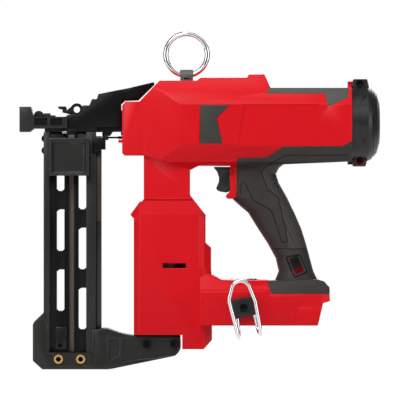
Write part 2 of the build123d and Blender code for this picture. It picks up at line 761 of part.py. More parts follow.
for x in insert_x:
    seat_line = ((x, -bracket_half - 0.6, insert_z), (x, 6, insert_z))
    magazine_foot -= rod(4.5, *seat_line)
    foot_inserts.append(tube(4.5, 2.6, *seat_line))
for x in tower_screw_x:
    magazine_foot -= rod(2.2, (x, -30, tower_screw_z), (x, 30, tower_screw_z))
save("magazine_foot", magazine_foot)
group("brass_inserts", foot_inserts + hook_inserts)
tower_screws = [
    cross_screw(x, tower_screw_z, -bracket_half, 24, screw_radius, 4.5, 2.4) for x in tower_screw_x
]
group("body_screws", [housing_screw(x, z) for x, z in pillars] + cap_screws + tower_screws)

# Catch at the bottom of the magazine, with its screw
catch_side = [(36, -203.7), (46.5, -203.7), (46.5, -225.8), (36, -225.8)]
catch_y = -web_outer
magazine_catch = side_slab(catch_side, catch_y - 3.2, catch_y)
catch_screw_z = -222.1
magazine_catch -= rod(1.2, (40.6, -20, catch_screw_z), (40.6, 0, catch_screw_z))
save("magazine_catch", magazine_catch)
catch_screw = cross_screw(40.6, catch_screw_z, catch_y - 3.2, catch_y, 1.2, 2.6, 1.4)

# Lifter frame inside the front of the housing
flange_radius = 33.0
flange_front = 171.0
lifter_radius = 17.2
lifter_room = lifter_radius + 0.5
disc_in, disc_out = 2.7, 6.2
shaft_radius = 6.0
bearing_radius = 11.0


def upright(radius, z0, z1, x=lifter_x, y=lifter_y):
    """Round bar along Z on the lifter's axis, or beside it."""
    return rod(radius, (x, y, z0), (x, y, z1))


lifter_frame = block(frame_front, 128, -frame_half, frame_half, -frame_high, frame_high)
lifter_frame += block(127.5, 166.5, -frame_half, 38, -frame_high, 8.5)
lifter_frame += block(166, flange_front + 1, -frame_half, frame_half, -frame_high, frame_high)
lifter_frame += rod(flange_radius, (flange_front, 0, 0), (tube_front, 0, 0))
lifter_frame -= block(100, 180, -channel_half, channel_half, -channel_high, channel_high)
lifter_frame -= upright(lifter_room, -disc_out - 0.4, 9)
lifter_frame -= upright(bearing_radius, -frame_high - 1, -disc_out)
lifter_cover = block(128, 166, -frame_half, 31, 8.5, frame_high)
lifter_cover -= upright(bearing_radius, 6.9, frame_high + 1)
save("lifter_frame", lifter_frame)
save("lifter_cover", lifter_cover)
shaft_bearings = [
    upright(bearing_radius, 6.9, frame_high) - upright(shaft_radius + fit, 6, 14),
    upright(bearing_radius, -frame_high, -disc_out - 0.7) - upright(shaft_radius + fit, -14, -5),
]

lifter_wheel = upright(lifter_radius, disc_in, disc_out) + upright(lifter_radius, -disc_out, -disc_in)
lifter_wheel += upright(9.5, -disc_in, disc_in)
lifter_wheel -= upright(shaft_radius, -10, 10)
pins = []
for k in range(pin_count):
    angle = math.radians(-90 + pin_step * (pin_count - 1 - k))
    x = lifter_x + pin_circle * math.cos(angle)
    y = lifter_y + pin_circle * math.sin(angle)
    pins.append(upright(pin_radius, -disc_out, disc_out, x, y))
lifter_wheel -= pins
save("lifter_wheel", lifter_wheel)
group("lifter_pins", pins)
carrier_top, carrier_low = -99.0, -103.0

# Gear train under the lifter
pitch_sun = gear_module * sun_teeth / 2
pitch_planet = gear_module * planet_teeth / 2
pitch_ring = gear_module * ring_teeth / 2
planet_orbit = pitch_sun + pitch_planet
gear_top = carrier_low - 0.5
gear_low = gear_top - gear_width
pressure = math.radians(20)


def involute(angle):
    """Involute of an angle."""
    return math.tan(angle) - angle


def gear_outline(teeth, rise, fall, thick):
    """Gear profile as (x, y) corners; rise and fall are measured from the pitch circle."""
    pitch_radius = gear_module * teeth / 2
    base = pitch_radius * math.cos(pressure)
    radii = [pitch_radius - fall, max(base, pitch_radius - fall) + 0.02, pitch_radius, pitch_radius + rise]
    half = []
    for radius in radii:
        roll = math.acos(min(1.0, base / radius))
        half.append(thick / (2 * pitch_radius) + involute(pressure) - involute(roll))
    points = []
    for k in range(teeth):
        middle = 2 * math.pi * k / teeth
        flank = list(zip(radii, half))
        for radius, angle in flank:
            points.append((radius * math.cos(middle - angle), radius * math.sin(middle - angle)))
        for radius, angle in reversed(flank):
            points.append((radius * math.cos(middle + angle), radius * math.sin(middle + angle)))
    return points


tooth = math.pi * gear_module / 2
gear_rise, gear_fall = 0.8 * gear_module, 1.2 * gear_module


def gear_solid(teeth, z0, z1, x, y, turn=0.0):
    """External gear along Z."""
    face = outline(gear_outline(teeth, gear_rise, gear_fall, tooth - gear_play))
    return Pos(x, y, z0) * Rot(0, 0, turn) * extrude(face, amount=z1 - z0, dir=(0, 0, 1))


case_top, case_low = -93.0, -117.0
ring_room = outline(gear_outline(ring_teeth, gear_fall, gear_rise, tooth + gear_play))
gear_case = upright(case_radius, case_low, case_top - 3) + upright(14, case_top - 4, case_top)
gear_case -= upright(bearing_radius, carrier_top + 1, case_top + 1)
gear_case -= upright(21.5, gear_top + 0.2, carrier_top + 0.5)
ring_hollow = extrude(ring_room, amount=gear_top + 1.3 - case_low, dir=(0, 0, 1))
gear_case -= Pos(lifter_x, lifter_y, case_low - 1) * ring_hollow
gear_case -= upright(shaft_radius + 1.5, carrier_top, case_top)
shaft_hole = upright(shaft_radius + fit, -110, -80)
shaft_bearings.append(upright(bearing_radius, carrier_top + 1, case_top) - shaft_hole)
planet_pin = 2.0
carrier = upright(20, carrier_low, carrier_top) + upright(shaft_radius, carrier_low, frame_high - 0.5)
planet_gears = []
for k in range(planet_count):
    turn = 360 * k / planet_count
    x = lifter_x + planet_orbit * math.cos(math.radians(turn))
    y = lifter_y + planet_orbit * math.sin(math.radians(turn))
    carrier += upright(planet_pin, gear_low, carrier_low, x, y)
    gear = gear_solid(planet_teeth, gear_low, gear_top, x, y, turn)
    save(f"planet_gear_{k + 1}", gear - upright(planet_pin + fit, -130, -90, x, y))
save("carrier_shaft", carrier)

motor_shaft = 2.5
motor_top, motor_low = -122.0, -164.0
fan_top, fan_low = -168.0, -177.0
cap_top, cap_low = -180.5, -184.5
motor_bearing = 5.5
sun_turn = 180 / sun_teeth
rotor_shaft = upright(motor_shaft, cap_low, gear_top - 0.5)
rotor_shaft += gear_solid(sun_teeth, gear_low, gear_top - 0.5, lifter_x, lifter_y, sun_turn)
save("rotor_shaft", rotor_shaft)
gear_case += upright(case_radius, -120.5, case_low) - upright(motor_bearing, -130, -110)
save("gear_case", gear_case)
motor_hole = upright(motor_shaft + fit, -200, -90)
motor_bearings = [
    upright(motor_bearing, z0, z1) - motor_hole for z0, z1 in ((-120.5, case_low), (cap_low, cap_top))
]
group("bearings", shaft_bearings + motor_bearings)
rotor_radius = 12.3
save("rotor", upright(rotor_radius, motor_low, motor_top) - upright(motor_shaft, -200, -90))
stator = upright(stator_radius, motor_low - 1, -120.5) - upright(rotor_radius + 0.4, -200, -121.4)
stator -= upright(motor_bearing + 1, -125, -119)
coil_slot = block(15, 20, -3, 3, motor_low - 2, motor_top + 0.4)
shaft_place = Pos(lifter_x, lifter_y, 0)
save("stator", stator - [shaft_place * Rot(0, 0, 60 * k) * coil_slot for k in range(6)])
fan = upright(6, fan_low, fan_top) + upright(21, fan_low, fan_low + 1.2)
fan_blade = block(5, 20.5, -0.6, 0.6, fan_low, fan_top)
fan += [shaft_place * Rot(0, 0, 40 * k) * fan_blade for k in range(9)]
fan -= upright(motor_shaft, -200, -90)
save("fan", fan)
end_cap = upright(stator_radius, cap_low, cap_top) - upright(motor_bearing, -200, -90)
cooling_hole = Pos(14, 0, cap_low - 1) * Cylinder(3, 20)
end_cap -= [shaft_place * Rot(0, 0, 90 * k + 30) * cooling_hole for k in range(4)]
save("motor_end_cap", end_cap)

# Cylinder, head, piston and driver


def level(radius, x0, x1):
    """Round bar on the firing axis."""
    return rod(radius, (x0, 0, 0), (x1, 0, 0))


cylinder = level(tube_outer, tube_front, tube_rear) + level(flange_radius, tube_front, tube_front + 5)
save("cylinder", cylinder - level(bore_radius, tube_front - 1, tube_rear + 1))
head_thick = 8.0
valve_radius = 4.0
cylinder_head = level(tube_outer, tube_rear, tube_rear + head_thick)
cylinder_head += level(bore_radius - fit, tube_rear - head_thick, tube_rear)
cylinder_head -= level(valve_radius, tube_rear - 10, tube_rear + 10)
fill_valve = level(valve_radius, tube_rear - head_thick, tube_rear + head_thick)
fill_valve += level(2.5, tube_rear + head_thick, tube_rear + head_thick + 5)
group("cylinder_head", [cylinder_head, fill_valve])
bumper_length = 12.0
bumper_end = tube_front + bumper_length
bumper = level(bore_radius - fit, tube_front, bumper_end) - level(8, tube_front - 1, bumper_end + 1)
save("bumper", bumper)
piston_front = bumper_end + stroke + 0.5
piston_rear = piston_front + piston_length
groove = 2.4
groove_floor = bore_radius - 2.5
piston = level(bore_radius - 0.15, piston_front, piston_rear)
seals = []
for x in (piston_front + 4, piston_front + 11):
    middle = level(groove_floor, x, x + groove)
    piston -= level(bore_radius, x, x + groove) - middle
    seals.append(level(bore_radius - fit, x, x + groove) - middle)
blade_tip = mag_rear + 3.5
blade_root = piston_front + 8
blade_half = blade_width / 2
piston -= block(piston_front - 1, blade_root, -blade_half, blade_half, -half_thick, half_thick)
save("piston", piston)
group("piston_seals", seals)
notch_floor = notch_line - pin_radius - 0.3
notch_low, notch_high = pin_radius + 0.2, pin_radius + 0.65
driver_blade = block(blade_tip, blade_root, -blade_half, blade_half, -half_thick, half_thick)
for k in range(pin_count):
    x = lifter_x + pitch * k
    notch = [
        (x - notch_low, notch_floor), (x + notch_low, notch_floor), (x + notch_high, blade_half + 1),
        (x - notch_high, blade_half + 1),
    ]
    driver_blade -= top_slab(notch, -half_thick - 1, half_thick + 1)
save("driver_blade", driver_blade)

# Trigger, its pin, spring, switch and plunger
trigger_half = 6.5
trigger_side = [
    (193.2, -43.9), (197.2, -48.8), (199, -54.6), (198.8, -58.8), (197.2, -62.6), (196.1, -64.9),
    (196.9, -67.2), (200.3, -68.7), (207.2, -69.7), (213, -66), (216.5, -64), (216.5, -54), (219, -46),
    (218, -43.9),
]
trigger = side_slab(trigger_side, -trigger_half, trigger_half)
trigger -= rod(pivot_radius + fit, (pivot_x, -20, pivot_z), (pivot_x, 20, pivot_z))
trigger = trigger & block(180, 240, -20, 20, -90, -43.6)
save("trigger", trigger)
trigger_pin = rod(pivot_radius, (pivot_x, -10, pivot_z), (pivot_x, 10, pivot_z))
group("pivot_pins", [latch_pin, trigger_pin])
switch_front, switch_rear = 224.0, 245.0
plunger_radius = 2.5
plunger_z = -60.0
trigger_switch = block(switch_front, switch_rear, -8, 8, -72, -50)
trigger_switch -= rod(
    plunger_radius + 0.1, (switch_front - 1, 0, plunger_z), (switch_front + 6, 0, plunger_z)
)
group("switches", [trigger_switch, contact_switch])
plunger = rod(plunger_radius, (216.9, 0, plunger_z), (switch_front + 2, 0, plunger_z))
save("switch_plunger", plunger)
save("trigger_spring", spring(1.8, 0.3, (216.8, 0, -55.0), (switch_front - 0.1, 0, -55.0), 5))

# Lock slider
save("lock_slider", slider_box(slider_long, slider_wide, slider_face, slider_floor - fit, -slider_travel / 2))

# Keypad with its button
save("keypad", keypad & block(210, 250, -14, 14, -161.9, -150))
save("mode_button", block(227, 237, -5, 5, -160.6, -155.6))

# Battery terminals and controller
blade_lines = (-16, -8, 0, 8, 16)
terminal_blades = [
    block(rail_start + 8, rail_start + 30, y - 0.4, y + 0.4, -198, -191) for y in blade_lines
]
terminal_block = block(rail_start + 0.3, rail_start + 15, -22, 22, -199.5, rail_ceiling)
terminal_block -= terminal_blades
group("battery_terminals", [terminal_block] + terminal_blades)
controller = block(222, 282, -22, 22, rail_ceiling + 3, rail_ceiling + 11)
fins = [block(226 + 8 * k, 229 + 8 * k, -20, 20, rail_ceiling + 7, rail_ceiling + 12) for k in range(7)]
save("controller", controller - fins)

# Hang ring on its strap
strap_half = 6.4
ring_low_z = ring_z - ring_radius
loop_radius = 4.2
strap_thick = 1.6
loop_outer = loop_radius + strap_thick
strap_x0, strap_x1 = ring_x - strap_half, ring_x + strap_half
strap_top = strap_floor + strap_thick
strap = rod(loop_outer, (strap_x0, 0, ring_low_z), (strap_x1, 0, ring_low_z))
strap += block(strap_x0, strap_x1, -loop_outer, loop_outer, strap_floor, ring_low_z)
strap += block(strap_x0, strap_x1, -13, 13, strap_floor, strap_top)
strap -= rod(loop_radius, (strap_x0 - 1, 0, ring_low_z), (strap_x1 + 1, 0, ring_low_z))
strap_screws = []
for y in (-ring_screw_y, ring_screw_y):
    hole = rod(1.6, (ring_x, y, strap_floor - 6), (ring_x, y, strap_top))
    strap -= hole
    strap_screws.append(hole + rod(3.0, (ring_x, y, strap_top), (ring_x, y, strap_top + 1.6)))
save("ring_strap", strap)
ring_plane = Plane(origin=(ring_x, 0, ring_z), x_dir=(1, 0, 0), z_dir=(0, -1, 0))
save("hang_ring", ring_plane * Torus(ring_radius, ring_wire))

# Belt hook of bent wire in its clamp
clamp_face = -foot_half
hook_near = clamp_face - 7.0
hook_line = hook_near + 4.0
hook_out = clamp_face - 24.0
hook_route = [
    (216.6, hook_line, -190.5), (218.6, hook_line, -212), (218.4, hook_out, -214),
    (208.4, hook_out, -176), (213, hook_out, -157), (226.5, hook_out, -157),
    (234.5, hook_out, -177), (240.6, hook_out, -211), (238.6, hook_line, -209),
    (233.4, hook_line, -187.5),
]
hook_path = FilletPolyline(*hook_route, radius=[8.5, 8.5, 12, 9, 9, 12, 8.5, 8.5])
belt_hook = sweep(Plane(origin=hook_path @ 0, z_dir=hook_path % 0) * Circle(hook_wire), path=hook_path)
save("belt_hook", belt_hook)
clamp_points = [(210.8, -176.1), (230.9, -172.1), (236.4, -190.3), (214.6, -195.2)]
hook_clamp = side_slab(clamp_points, hook_near, clamp_face)
hook_clamp -= [
    rod(hook_wire, hook_route[0], hook_path @ 0.03),
    rod(hook_wire, hook_route[-1], hook_path @ 0.97),
    rod(insert_hole + fit, (hook_x, -60, hook_z), (hook_x, -20, hook_z)),
]
save("hook_clamp", hook_clamp)
hook_end = clamp_face + insert_length - 1
hook_screw = cross_screw(hook_x, hook_z, hook_near, hook_end, insert_hole, 4.4, 3.0)
group("small_screws", rail_screws + strap_screws + [catch_screw, hook_screw])
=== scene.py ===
"""Looks of a cordless fencing stapler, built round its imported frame.

Every piece is in metres in the frame of the solids: X from the nose to the rear cap, Z up, and the
near side at -Y.
"""

import json
import math

import bmesh
import bpy
from mathutils import Matrix, Vector
from mathutils.bvhtree import BVHTree
from mathutils.geometry import intersect_line_line_2d

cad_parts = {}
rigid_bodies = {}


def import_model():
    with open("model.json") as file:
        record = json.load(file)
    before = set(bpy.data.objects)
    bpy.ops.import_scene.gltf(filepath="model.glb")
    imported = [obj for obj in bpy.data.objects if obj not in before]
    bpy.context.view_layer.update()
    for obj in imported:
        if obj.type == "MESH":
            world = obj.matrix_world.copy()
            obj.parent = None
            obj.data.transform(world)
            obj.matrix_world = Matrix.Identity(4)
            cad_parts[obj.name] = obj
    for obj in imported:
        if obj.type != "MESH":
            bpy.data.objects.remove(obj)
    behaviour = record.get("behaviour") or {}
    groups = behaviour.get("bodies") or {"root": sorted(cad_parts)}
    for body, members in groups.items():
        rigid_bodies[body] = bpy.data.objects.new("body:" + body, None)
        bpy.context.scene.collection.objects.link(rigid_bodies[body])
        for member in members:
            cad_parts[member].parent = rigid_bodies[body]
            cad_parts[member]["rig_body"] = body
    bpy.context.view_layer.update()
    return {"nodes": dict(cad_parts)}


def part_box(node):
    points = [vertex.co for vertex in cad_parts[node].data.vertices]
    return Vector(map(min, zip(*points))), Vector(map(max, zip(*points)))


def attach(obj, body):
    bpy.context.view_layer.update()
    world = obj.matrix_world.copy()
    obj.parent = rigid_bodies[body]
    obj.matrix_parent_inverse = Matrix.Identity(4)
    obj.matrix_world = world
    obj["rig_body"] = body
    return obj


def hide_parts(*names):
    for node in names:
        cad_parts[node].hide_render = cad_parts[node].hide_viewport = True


bl_info = {
    "name": "Fencing Stapler",
    "version": (1, 0, 0),
    "blender": (4, 5, 0),
    "location": "View3D > Sidebar > Stapler",
    "description": "Dresses the frame of a fencing stapler with its pieces and finishes",
    "category": "Object",
}

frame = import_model()

MM = 0.001


class StaplerColours(bpy.types.PropertyGroup):
    """Base colours of the finishes."""

    housing: bpy.props.FloatVectorProperty(
        name="Housing", description="Moulded nylon of the housing", subtype="COLOR",
        size=3, min=0, max=1, default=(0.76, 0.004, 0.011),
    )
    rubber: bpy.props.FloatVectorProperty(
        name="Grip rubber", description="Soft overmould of the handle", subtype="COLOR",
        size=3, min=0, max=1, default=(0.030, 0.026, 0.023),
    )
    pad: bpy.props.FloatVectorProperty(
        name="Pads", description="Bumper pads on the barrel", subtype="COLOR",
        size=3, min=0, max=1, default=(0.088, 0.090, 0.082),
    )
    coating: bpy.props.FloatVectorProperty(
        name="Black coating", description="Coated castings and rails", subtype="COLOR",
        size=3, min=0, max=1, default=(0.016, 0.016, 0.015),
    )
    wire: bpy.props.FloatVectorProperty(
        name="Bright wire", description="Plated wire of the ring and the belt hook", subtype="COLOR",
        size=3, min=0, max=1, default=(0.78, 0.78, 0.79),
    )
    brass: bpy.props.FloatVectorProperty(
        name="Brass", description="Threaded inserts", subtype="COLOR",
        size=3, min=0, max=1, default=(0.80, 0.50, 0.16),
    )


class StaplerSizes(bpy.types.PropertyGroup):
    """Small sizes that the solids leave open."""

    housing_edge: bpy.props.FloatProperty(
        name="Housing edge", description="Width of the rounded edges of the housing",
        default=0.7 * MM, min=0.1 * MM, max=2 * MM, unit="LENGTH",
    )
    metal_edge: bpy.props.FloatProperty(
        name="Metal edge", description="Width of the broken edges of castings and rails",
        default=0.35 * MM, min=0.05 * MM, max=1 * MM, unit="LENGTH",
    )
    seam_radius: bpy.props.FloatProperty(
        name="Seam radius", description="Radius of the grooves in the grip's rubber",
        default=0.42 * MM, min=0.1 * MM, max=1 * MM, unit="LENGTH",
    )
    knurl_pitch: bpy.props.FloatProperty(
        name="Knurl pitch", description="Pitch of the dots in the grip's rubber",
        default=1.9 * MM, min=0.4 * MM, max=3 * MM, unit="LENGTH",
    )


class StaplerStage(bpy.types.PropertyGroup):
    """Camera and lamps."""

    distance: bpy.props.FloatProperty(
        name="Camera distance", description="From the camera to the tool's middle plane",
        default=4.8, min=0.5, max=8, unit="LENGTH",
    )
    key_power: bpy.props.FloatProperty(
        name="Key lamp", description="Power of the large lamp above the near side",
        default=14, min=0, max=100, unit="POWER",
    )
    fill_power: bpy.props.FloatProperty(
        name="Fill lamp", description="Power of the lamp at the front",
        default=5, min=0, max=100, unit="POWER",
    )


# Shader node groups

def add(tree, kind, inputs=None, **settings):
    """Adds a node; an input is a number, a colour or another node's socket."""
    node = tree.nodes.new(kind)
    for name, value in settings.items():
        setattr(node, name, value)
    for name, value in (inputs or {}).items():
        if isinstance(value, bpy.types.NodeSocket):
            tree.links.new(value, node.inputs[name])
        else:
            node.inputs[name].default_value = value
    return node


def math_node(tree, operation, *values):
    """Result of a sum on numbers or sockets."""
    node = add(tree, "ShaderNodeMath", dict(enumerate(values)), operation=operation)
    return node.outputs[0]


def new_group(name, inputs, outputs):
    """Empty node group with its sockets; returns the tree, its input node and its output node."""
    tree = bpy.data.node_groups.new(name, "ShaderNodeTree")
    for label, kind in inputs:
        tree.interface.new_socket(label, in_out="INPUT", socket_type=kind)
    for label, kind in outputs:
        tree.interface.new_socket(label, in_out="OUTPUT", socket_type=kind)
    return tree, tree.nodes.new("NodeGroupInput"), tree.nodes.new("NodeGroupOutput")


def moulded_grain():
    """Fine cast or moulded texture, as a height."""
    tree, given, out = new_group(
        "moulded_grain",
        [("Place", "NodeSocketVector"), ("Size", "NodeSocketFloat"), ("Depth", "NodeSocketFloat")],
        [("Height", "NodeSocketFloat")],
    )
    scale = math_node(tree, "DIVIDE", 1.0, given.outputs["Size"])
    fine = add(tree, "ShaderNodeTexNoise", {"Vector": given.outputs["Place"], "Scale": scale, "Detail": 3.0})
    pits = add(tree, "ShaderNodeTexVoronoi", {
        "Vector": given.outputs["Place"], "Scale": math_node(tree, "MULTIPLY", scale, 0.7)})
    both = math_node(tree, "ADD", fine.outputs["Fac"], math_node(tree, "MULTIPLY", pits.outputs["Distance"], 0.6))
    tree.links.new(math_node(tree, "MULTIPLY", both, given.outputs["Depth"]), out.inputs["Height"])
    return tree


def wear_and_edge_highlight():
    """Where a surface is rubbed: broad patches and fine scratches; and the edges, lightened partly as wear and
    partly as a painted highlight.
    """
    tree, given, out = new_group(
        "wear_and_edge_highlight",
        [("Place", "NodeSocketVector"), ("Size", "NodeSocketFloat"), ("Amount", "NodeSocketFloat"),
         ("Edge", "NodeSocketFloat"), ("Edge Amount", "NodeSocketFloat")],
        [("Mask", "NodeSocketFloat")],
    )
    place = given.outputs["Place"]
    scale = math_node(tree, "DIVIDE", 1.0, given.outputs["Size"])
    patch = add(tree, "ShaderNodeTexNoise", {"Vector": place, "Scale": scale, "Detail": 4.0})
    patches = add(tree, "ShaderNodeMapRange", {
        "Value": patch.outputs["Fac"], "From Min": 0.54, "From Max": 0.72, "To Max": 0.5}).outputs["Result"]
    streak = add(tree, "ShaderNodeMapping", {"Vector": place, "Scale": (1.0, 1.0, 9.0),
                                             "Rotation": (0.0, 0.7, 0.2)})
    thin = add(tree, "ShaderNodeTexNoise", {
        "Vector": streak.outputs["Vector"], "Scale": math_node(tree, "MULTIPLY", scale, 7.0), "Detail": 2.0})
    scratches = add(tree, "ShaderNodeMapRange", {
        "Value": thin.outputs["Fac"], "From Min": 0.68, "From Max": 0.74}).outputs["Result"]
    broken = add(tree, "ShaderNodeTexNoise", {
        "Vector": place, "Scale": math_node(tree, "MULTIPLY", scale, 5.0), "Detail": 3.0})
    edge = math_node(tree, "MULTIPLY", given.outputs["Edge"], add(tree, "ShaderNodeMapRange", {
        "Value": broken.outputs["Fac"], "From Min": 0.35, "From Max": 0.65}).outputs["Result"])
    rubbed = math_node(tree, "MULTIPLY", math_node(tree, "MAXIMUM", patches, scratches), given.outputs["Amount"])
    # the edges are lightened partly as wear and partly as a painted highlight
    wear_and_painted_light = math_node(tree, "MULTIPLY", edge, given.outputs["Edge Amount"])
    tree.links.new(math_node(tree, "MAXIMUM", rubbed, wear_and_painted_light), out.inputs["Mask"])
    return tree


def colour_drift():
    """Slight uneven tone over a surface."""
    tree, given, out = new_group(
        "colour_drift",
        [("Place", "NodeSocketVector"), ("Colour", "NodeSocketColor"), ("Size", "NodeSocketFloat"),
         ("Drift", "NodeSocketFloat")],
        [("Colour", "NodeSocketColor"), ("Tone", "NodeSocketFloat")],
    )
    tone = add(tree, "ShaderNodeTexNoise", {
        "Vector": given.outputs["Place"], "Detail": 3.0,
        "Scale": math_node(tree, "DIVIDE", 1.0, given.outputs["Size"])}).outputs["Fac"]
    swing = math_node(tree, "MULTIPLY", math_node(tree, "SUBTRACT", tone, 0.5), given.outputs["Drift"])
    value = math_node(tree, "ADD", 1.0, swing)
    shifted = add(tree, "ShaderNodeHueSaturation", {"Color": given.outputs["Colour"], "Value": value})
    tree.links.new(shifted.outputs["Color"], out.inputs["Colour"])
    tree.links.new(tone, out.inputs["Tone"])
    return tree


def rubber_knurl():
    """Rows of small dots, as a height."""
    tree, given, out = new_group(
        "rubber_knurl",
        [("Place", "NodeSocketVector"), ("Pitch", "NodeSocketFloat")],
        [("Height", "NodeSocketFloat")],
    )
    turned = add(tree, "ShaderNodeMapping", {"Vector": given.outputs["Place"], "Rotation": (0.0, 0.6, 0.0)})
    dots = add(tree, "ShaderNodeTexVoronoi", {
        "Vector": turned.outputs["Vector"], "Randomness": 0.12,
        "Scale": math_node(tree, "DIVIDE", 1.0, given.outputs["Pitch"])})
    height = add(tree, "ShaderNodeMapRange", {
        "Value": dots.outputs["Distance"], "From Min": 0.15, "From Max": 0.6, "To Min": 1.0, "To Max": 0.0})
    tree.links.new(height.outputs["Result"], out.inputs["Height"])
    return tree


def brushed_lines():
    """Fine lines along Z from grinding, as a mask."""
    tree, given, out = new_group(
        "brushed_lines",
        [("Place", "NodeSocketVector"), ("Size", "NodeSocketFloat")],
        [("Mask", "NodeSocketFloat")],
    )
    drawn = add(tree, "ShaderNodeMapping", {"Vector": given.outputs["Place"], "Scale": (1.0, 1.0, 0.02)})
    lines = add(tree, "ShaderNodeTexNoise", {
        "Vector": drawn.outputs["Vector"], "Detail": 2.0,
        "Scale": math_node(tree, "DIVIDE", 1.0, given.outputs["Size"])})
    tree.links.new(lines.outputs["Fac"], out.inputs["Mask"])
    return tree


groups = {}
finishes = {}


def use_group(tree, maker, inputs):
    """Places a shared group, built the first time that it is asked for."""
    if maker.__name__ not in groups:
        groups[maker.__name__] = maker()
    node = add(tree, "ShaderNodeGroup")
    node.node_tree = groups[maker.__name__]
    for name, value in inputs.items():
        if isinstance(value, bpy.types.NodeSocket):
            tree.links.new(value, node.inputs[name])
        else:
            node.inputs[name].default_value = value
    return node


def finish(name, colour, rough, metallic=0.0, grain=0.6, depth=0.25, strength=0.12, wear=0.2,
           wear_and_painted_light=None, worn_rough=-0.1, drift=0.12, edges=0.5, shine=0.3, coat=0.0, relief=None):
    """Material with drifting tone, rubbed places, edges lightened partly as wear and partly as a painted highlight,
    and grain; sizes in millimetres.
    """
    if name in finishes:
        return finishes[name]
    material = bpy.data.materials.new(name)
    material.use_nodes = True
    tree = material.node_tree
    shader = tree.nodes["Principled BSDF"]
    place = add(tree, "ShaderNodeTexCoord").outputs["Object"]
    # mark of the rounded edges, which the colour lightens partly as wear and partly as a painted highlight
    edge = add(tree, "ShaderNodeAttribute", attribute_name="edge_wear_and_highlight").outputs["Fac"]
    tone = use_group(tree, colour_drift, {
        "Place": place, "Colour": (*colour, 1.0), "Size": 28 * MM, "Drift": drift})
    mask = use_group(tree, wear_and_edge_highlight, {
        "Place": place, "Size": 22 * MM, "Amount": wear, "Edge": edge, "Edge Amount": edges}).outputs["Mask"]
    # colour that the mask mixes in: for the worn places, and for the painted highlights on the edges and the knurl
    # dots
    light = wear_and_painted_light or [c + (1 - c) * 0.25 for c in colour]
    height = use_group(tree, moulded_grain, {
        "Place": place, "Size": grain * MM, "Depth": depth}).outputs["Height"]
    painted_light_mask = None
    if relief:
        height, painted_light_mask = relief(tree, place, height)
    # a relief's mask also mixes in that colour: a painted highlight on the tops of the knurl dots, and the plain
    # dark lower end of the rear strip below its painted reflection
    if painted_light_mask:
        mask = math_node(tree, "MAXIMUM", mask, math_node(tree, "MULTIPLY", painted_light_mask, 0.85))
    mixed = add(tree, "ShaderNodeMix", data_type="RGBA")
    tree.links.new(mask, mixed.inputs[0])
    tree.links.new(tone.outputs["Colour"], mixed.inputs[6])
    mixed.inputs[7].default_value = (*light, 1.0)
    tree.links.new(mixed.outputs[2], shader.inputs["Base Color"])
    even = math_node(tree, "MULTIPLY_ADD", tone.outputs["Tone"], 0.12, rough - 0.06)
    rubbed = math_node(tree, "MULTIPLY_ADD", mask, worn_rough, even)
    tree.links.new(rubbed, shader.inputs["Roughness"])
    shader.inputs["Metallic"].default_value = metallic
    shader.inputs["Coat Weight"].default_value = coat
    shader.inputs["Specular IOR Level"].default_value = shine
    bump = add(tree, "ShaderNodeBump", {"Height": height, "Strength": strength, "Distance": 0.3 * MM})
    tree.links.new(bump.outputs["Normal"], shader.inputs["Normal"])
    finishes[name] = material
    return material


def knurled_back(tree, place, height):
    """Adds dots behind the seam that runs down the grip; returns the height, and the dots as a mask that lightens
    their tops as a painted highlight.
    """
    parts = add(tree, "ShaderNodeSeparateXYZ", {"Vector": place})
    low, high = -0.1257, -0.047
    along = add(tree, "ShaderNodeMapRange", {
        "Value": parts.outputs["Z"], "From Min": low, "From Max": high}).outputs["Result"]
    seam_x = add(tree, "ShaderNodeFloatCurve", {"Value": along})
    curve = seam_x.mapping.curves[0]
    route = [(-0.1257, 268.5), (-0.1165, 267), (-0.1035, 264.8), (-0.0851, 260.5), (-0.0742, 257.8),
             (-0.0661, 247.5), (-0.0487, 241)]
    corners = [((z - low) / (high - low), (x - 230) / 60) for z, x in route]
    curve.points[0].location = corners[0]
    curve.points[-1].location = (1.0, corners[-1][1])
    for corner in corners[1:-1]:
        curve.points.new(*corner)
    for point in curve.points:
        point.handle_type = "VECTOR"
    seam_x.mapping.update()
    line = math_node(tree, "MULTIPLY_ADD", seam_x.outputs["Value"], 0.060, 0.230)
    behind = math_node(tree, "GREATER_THAN", parts.outputs["X"], line)
    above = math_node(tree, "GREATER_THAN", parts.outputs["Z"], low)
    below = math_node(tree, "LESS_THAN", parts.outputs["Z"], -0.043)
    mask = math_node(tree, "MULTIPLY", math_node(tree, "MULTIPLY", behind, above), below)
    dots = use_group(tree, rubber_knurl, {
        "Place": place, "Pitch": bpy.context.scene.stapler_sizes.knurl_pitch}).outputs["Height"]
    shown = math_node(tree, "MULTIPLY", mask, dots)
    return math_node(tree, "MULTIPLY_ADD", shown, 2.2, height), shown


def ground_lines(tree, place, height):
    """Adds grinding lines along Z."""
    lines = use_group(tree, brushed_lines, {"Place": place, "Size": 0.35 * MM}).outputs["Mask"]
    return math_node(tree, "MULTIPLY_ADD", lines, 0.8, height), None


def ground_lines_painted_reflection(tree, place, height):
    """Adds grinding lines along Z, and darkens the lower end below Z -98 mm; the brownish tone above it is a
    painted reflection of the red housing.
    """
    parts = add(tree, "ShaderNodeSeparateXYZ", {"Vector": place})
    low = math_node(tree, "LESS_THAN", parts.outputs["Z"], -0.098)
    return ground_lines(tree, place, height)[0], low


def stacked_sheets(tree, place, height):
    """Adds the edges of stamped sheets stacked along Z."""
    wave = add(tree, "ShaderNodeTexWave", {"Vector": place, "Scale": 300.0, "Distortion": 0.0},
               wave_type="BANDS", bands_direction="Z")
    return math_node(tree, "MULTIPLY_ADD", wave.outputs["Fac"], 1.2, height), None


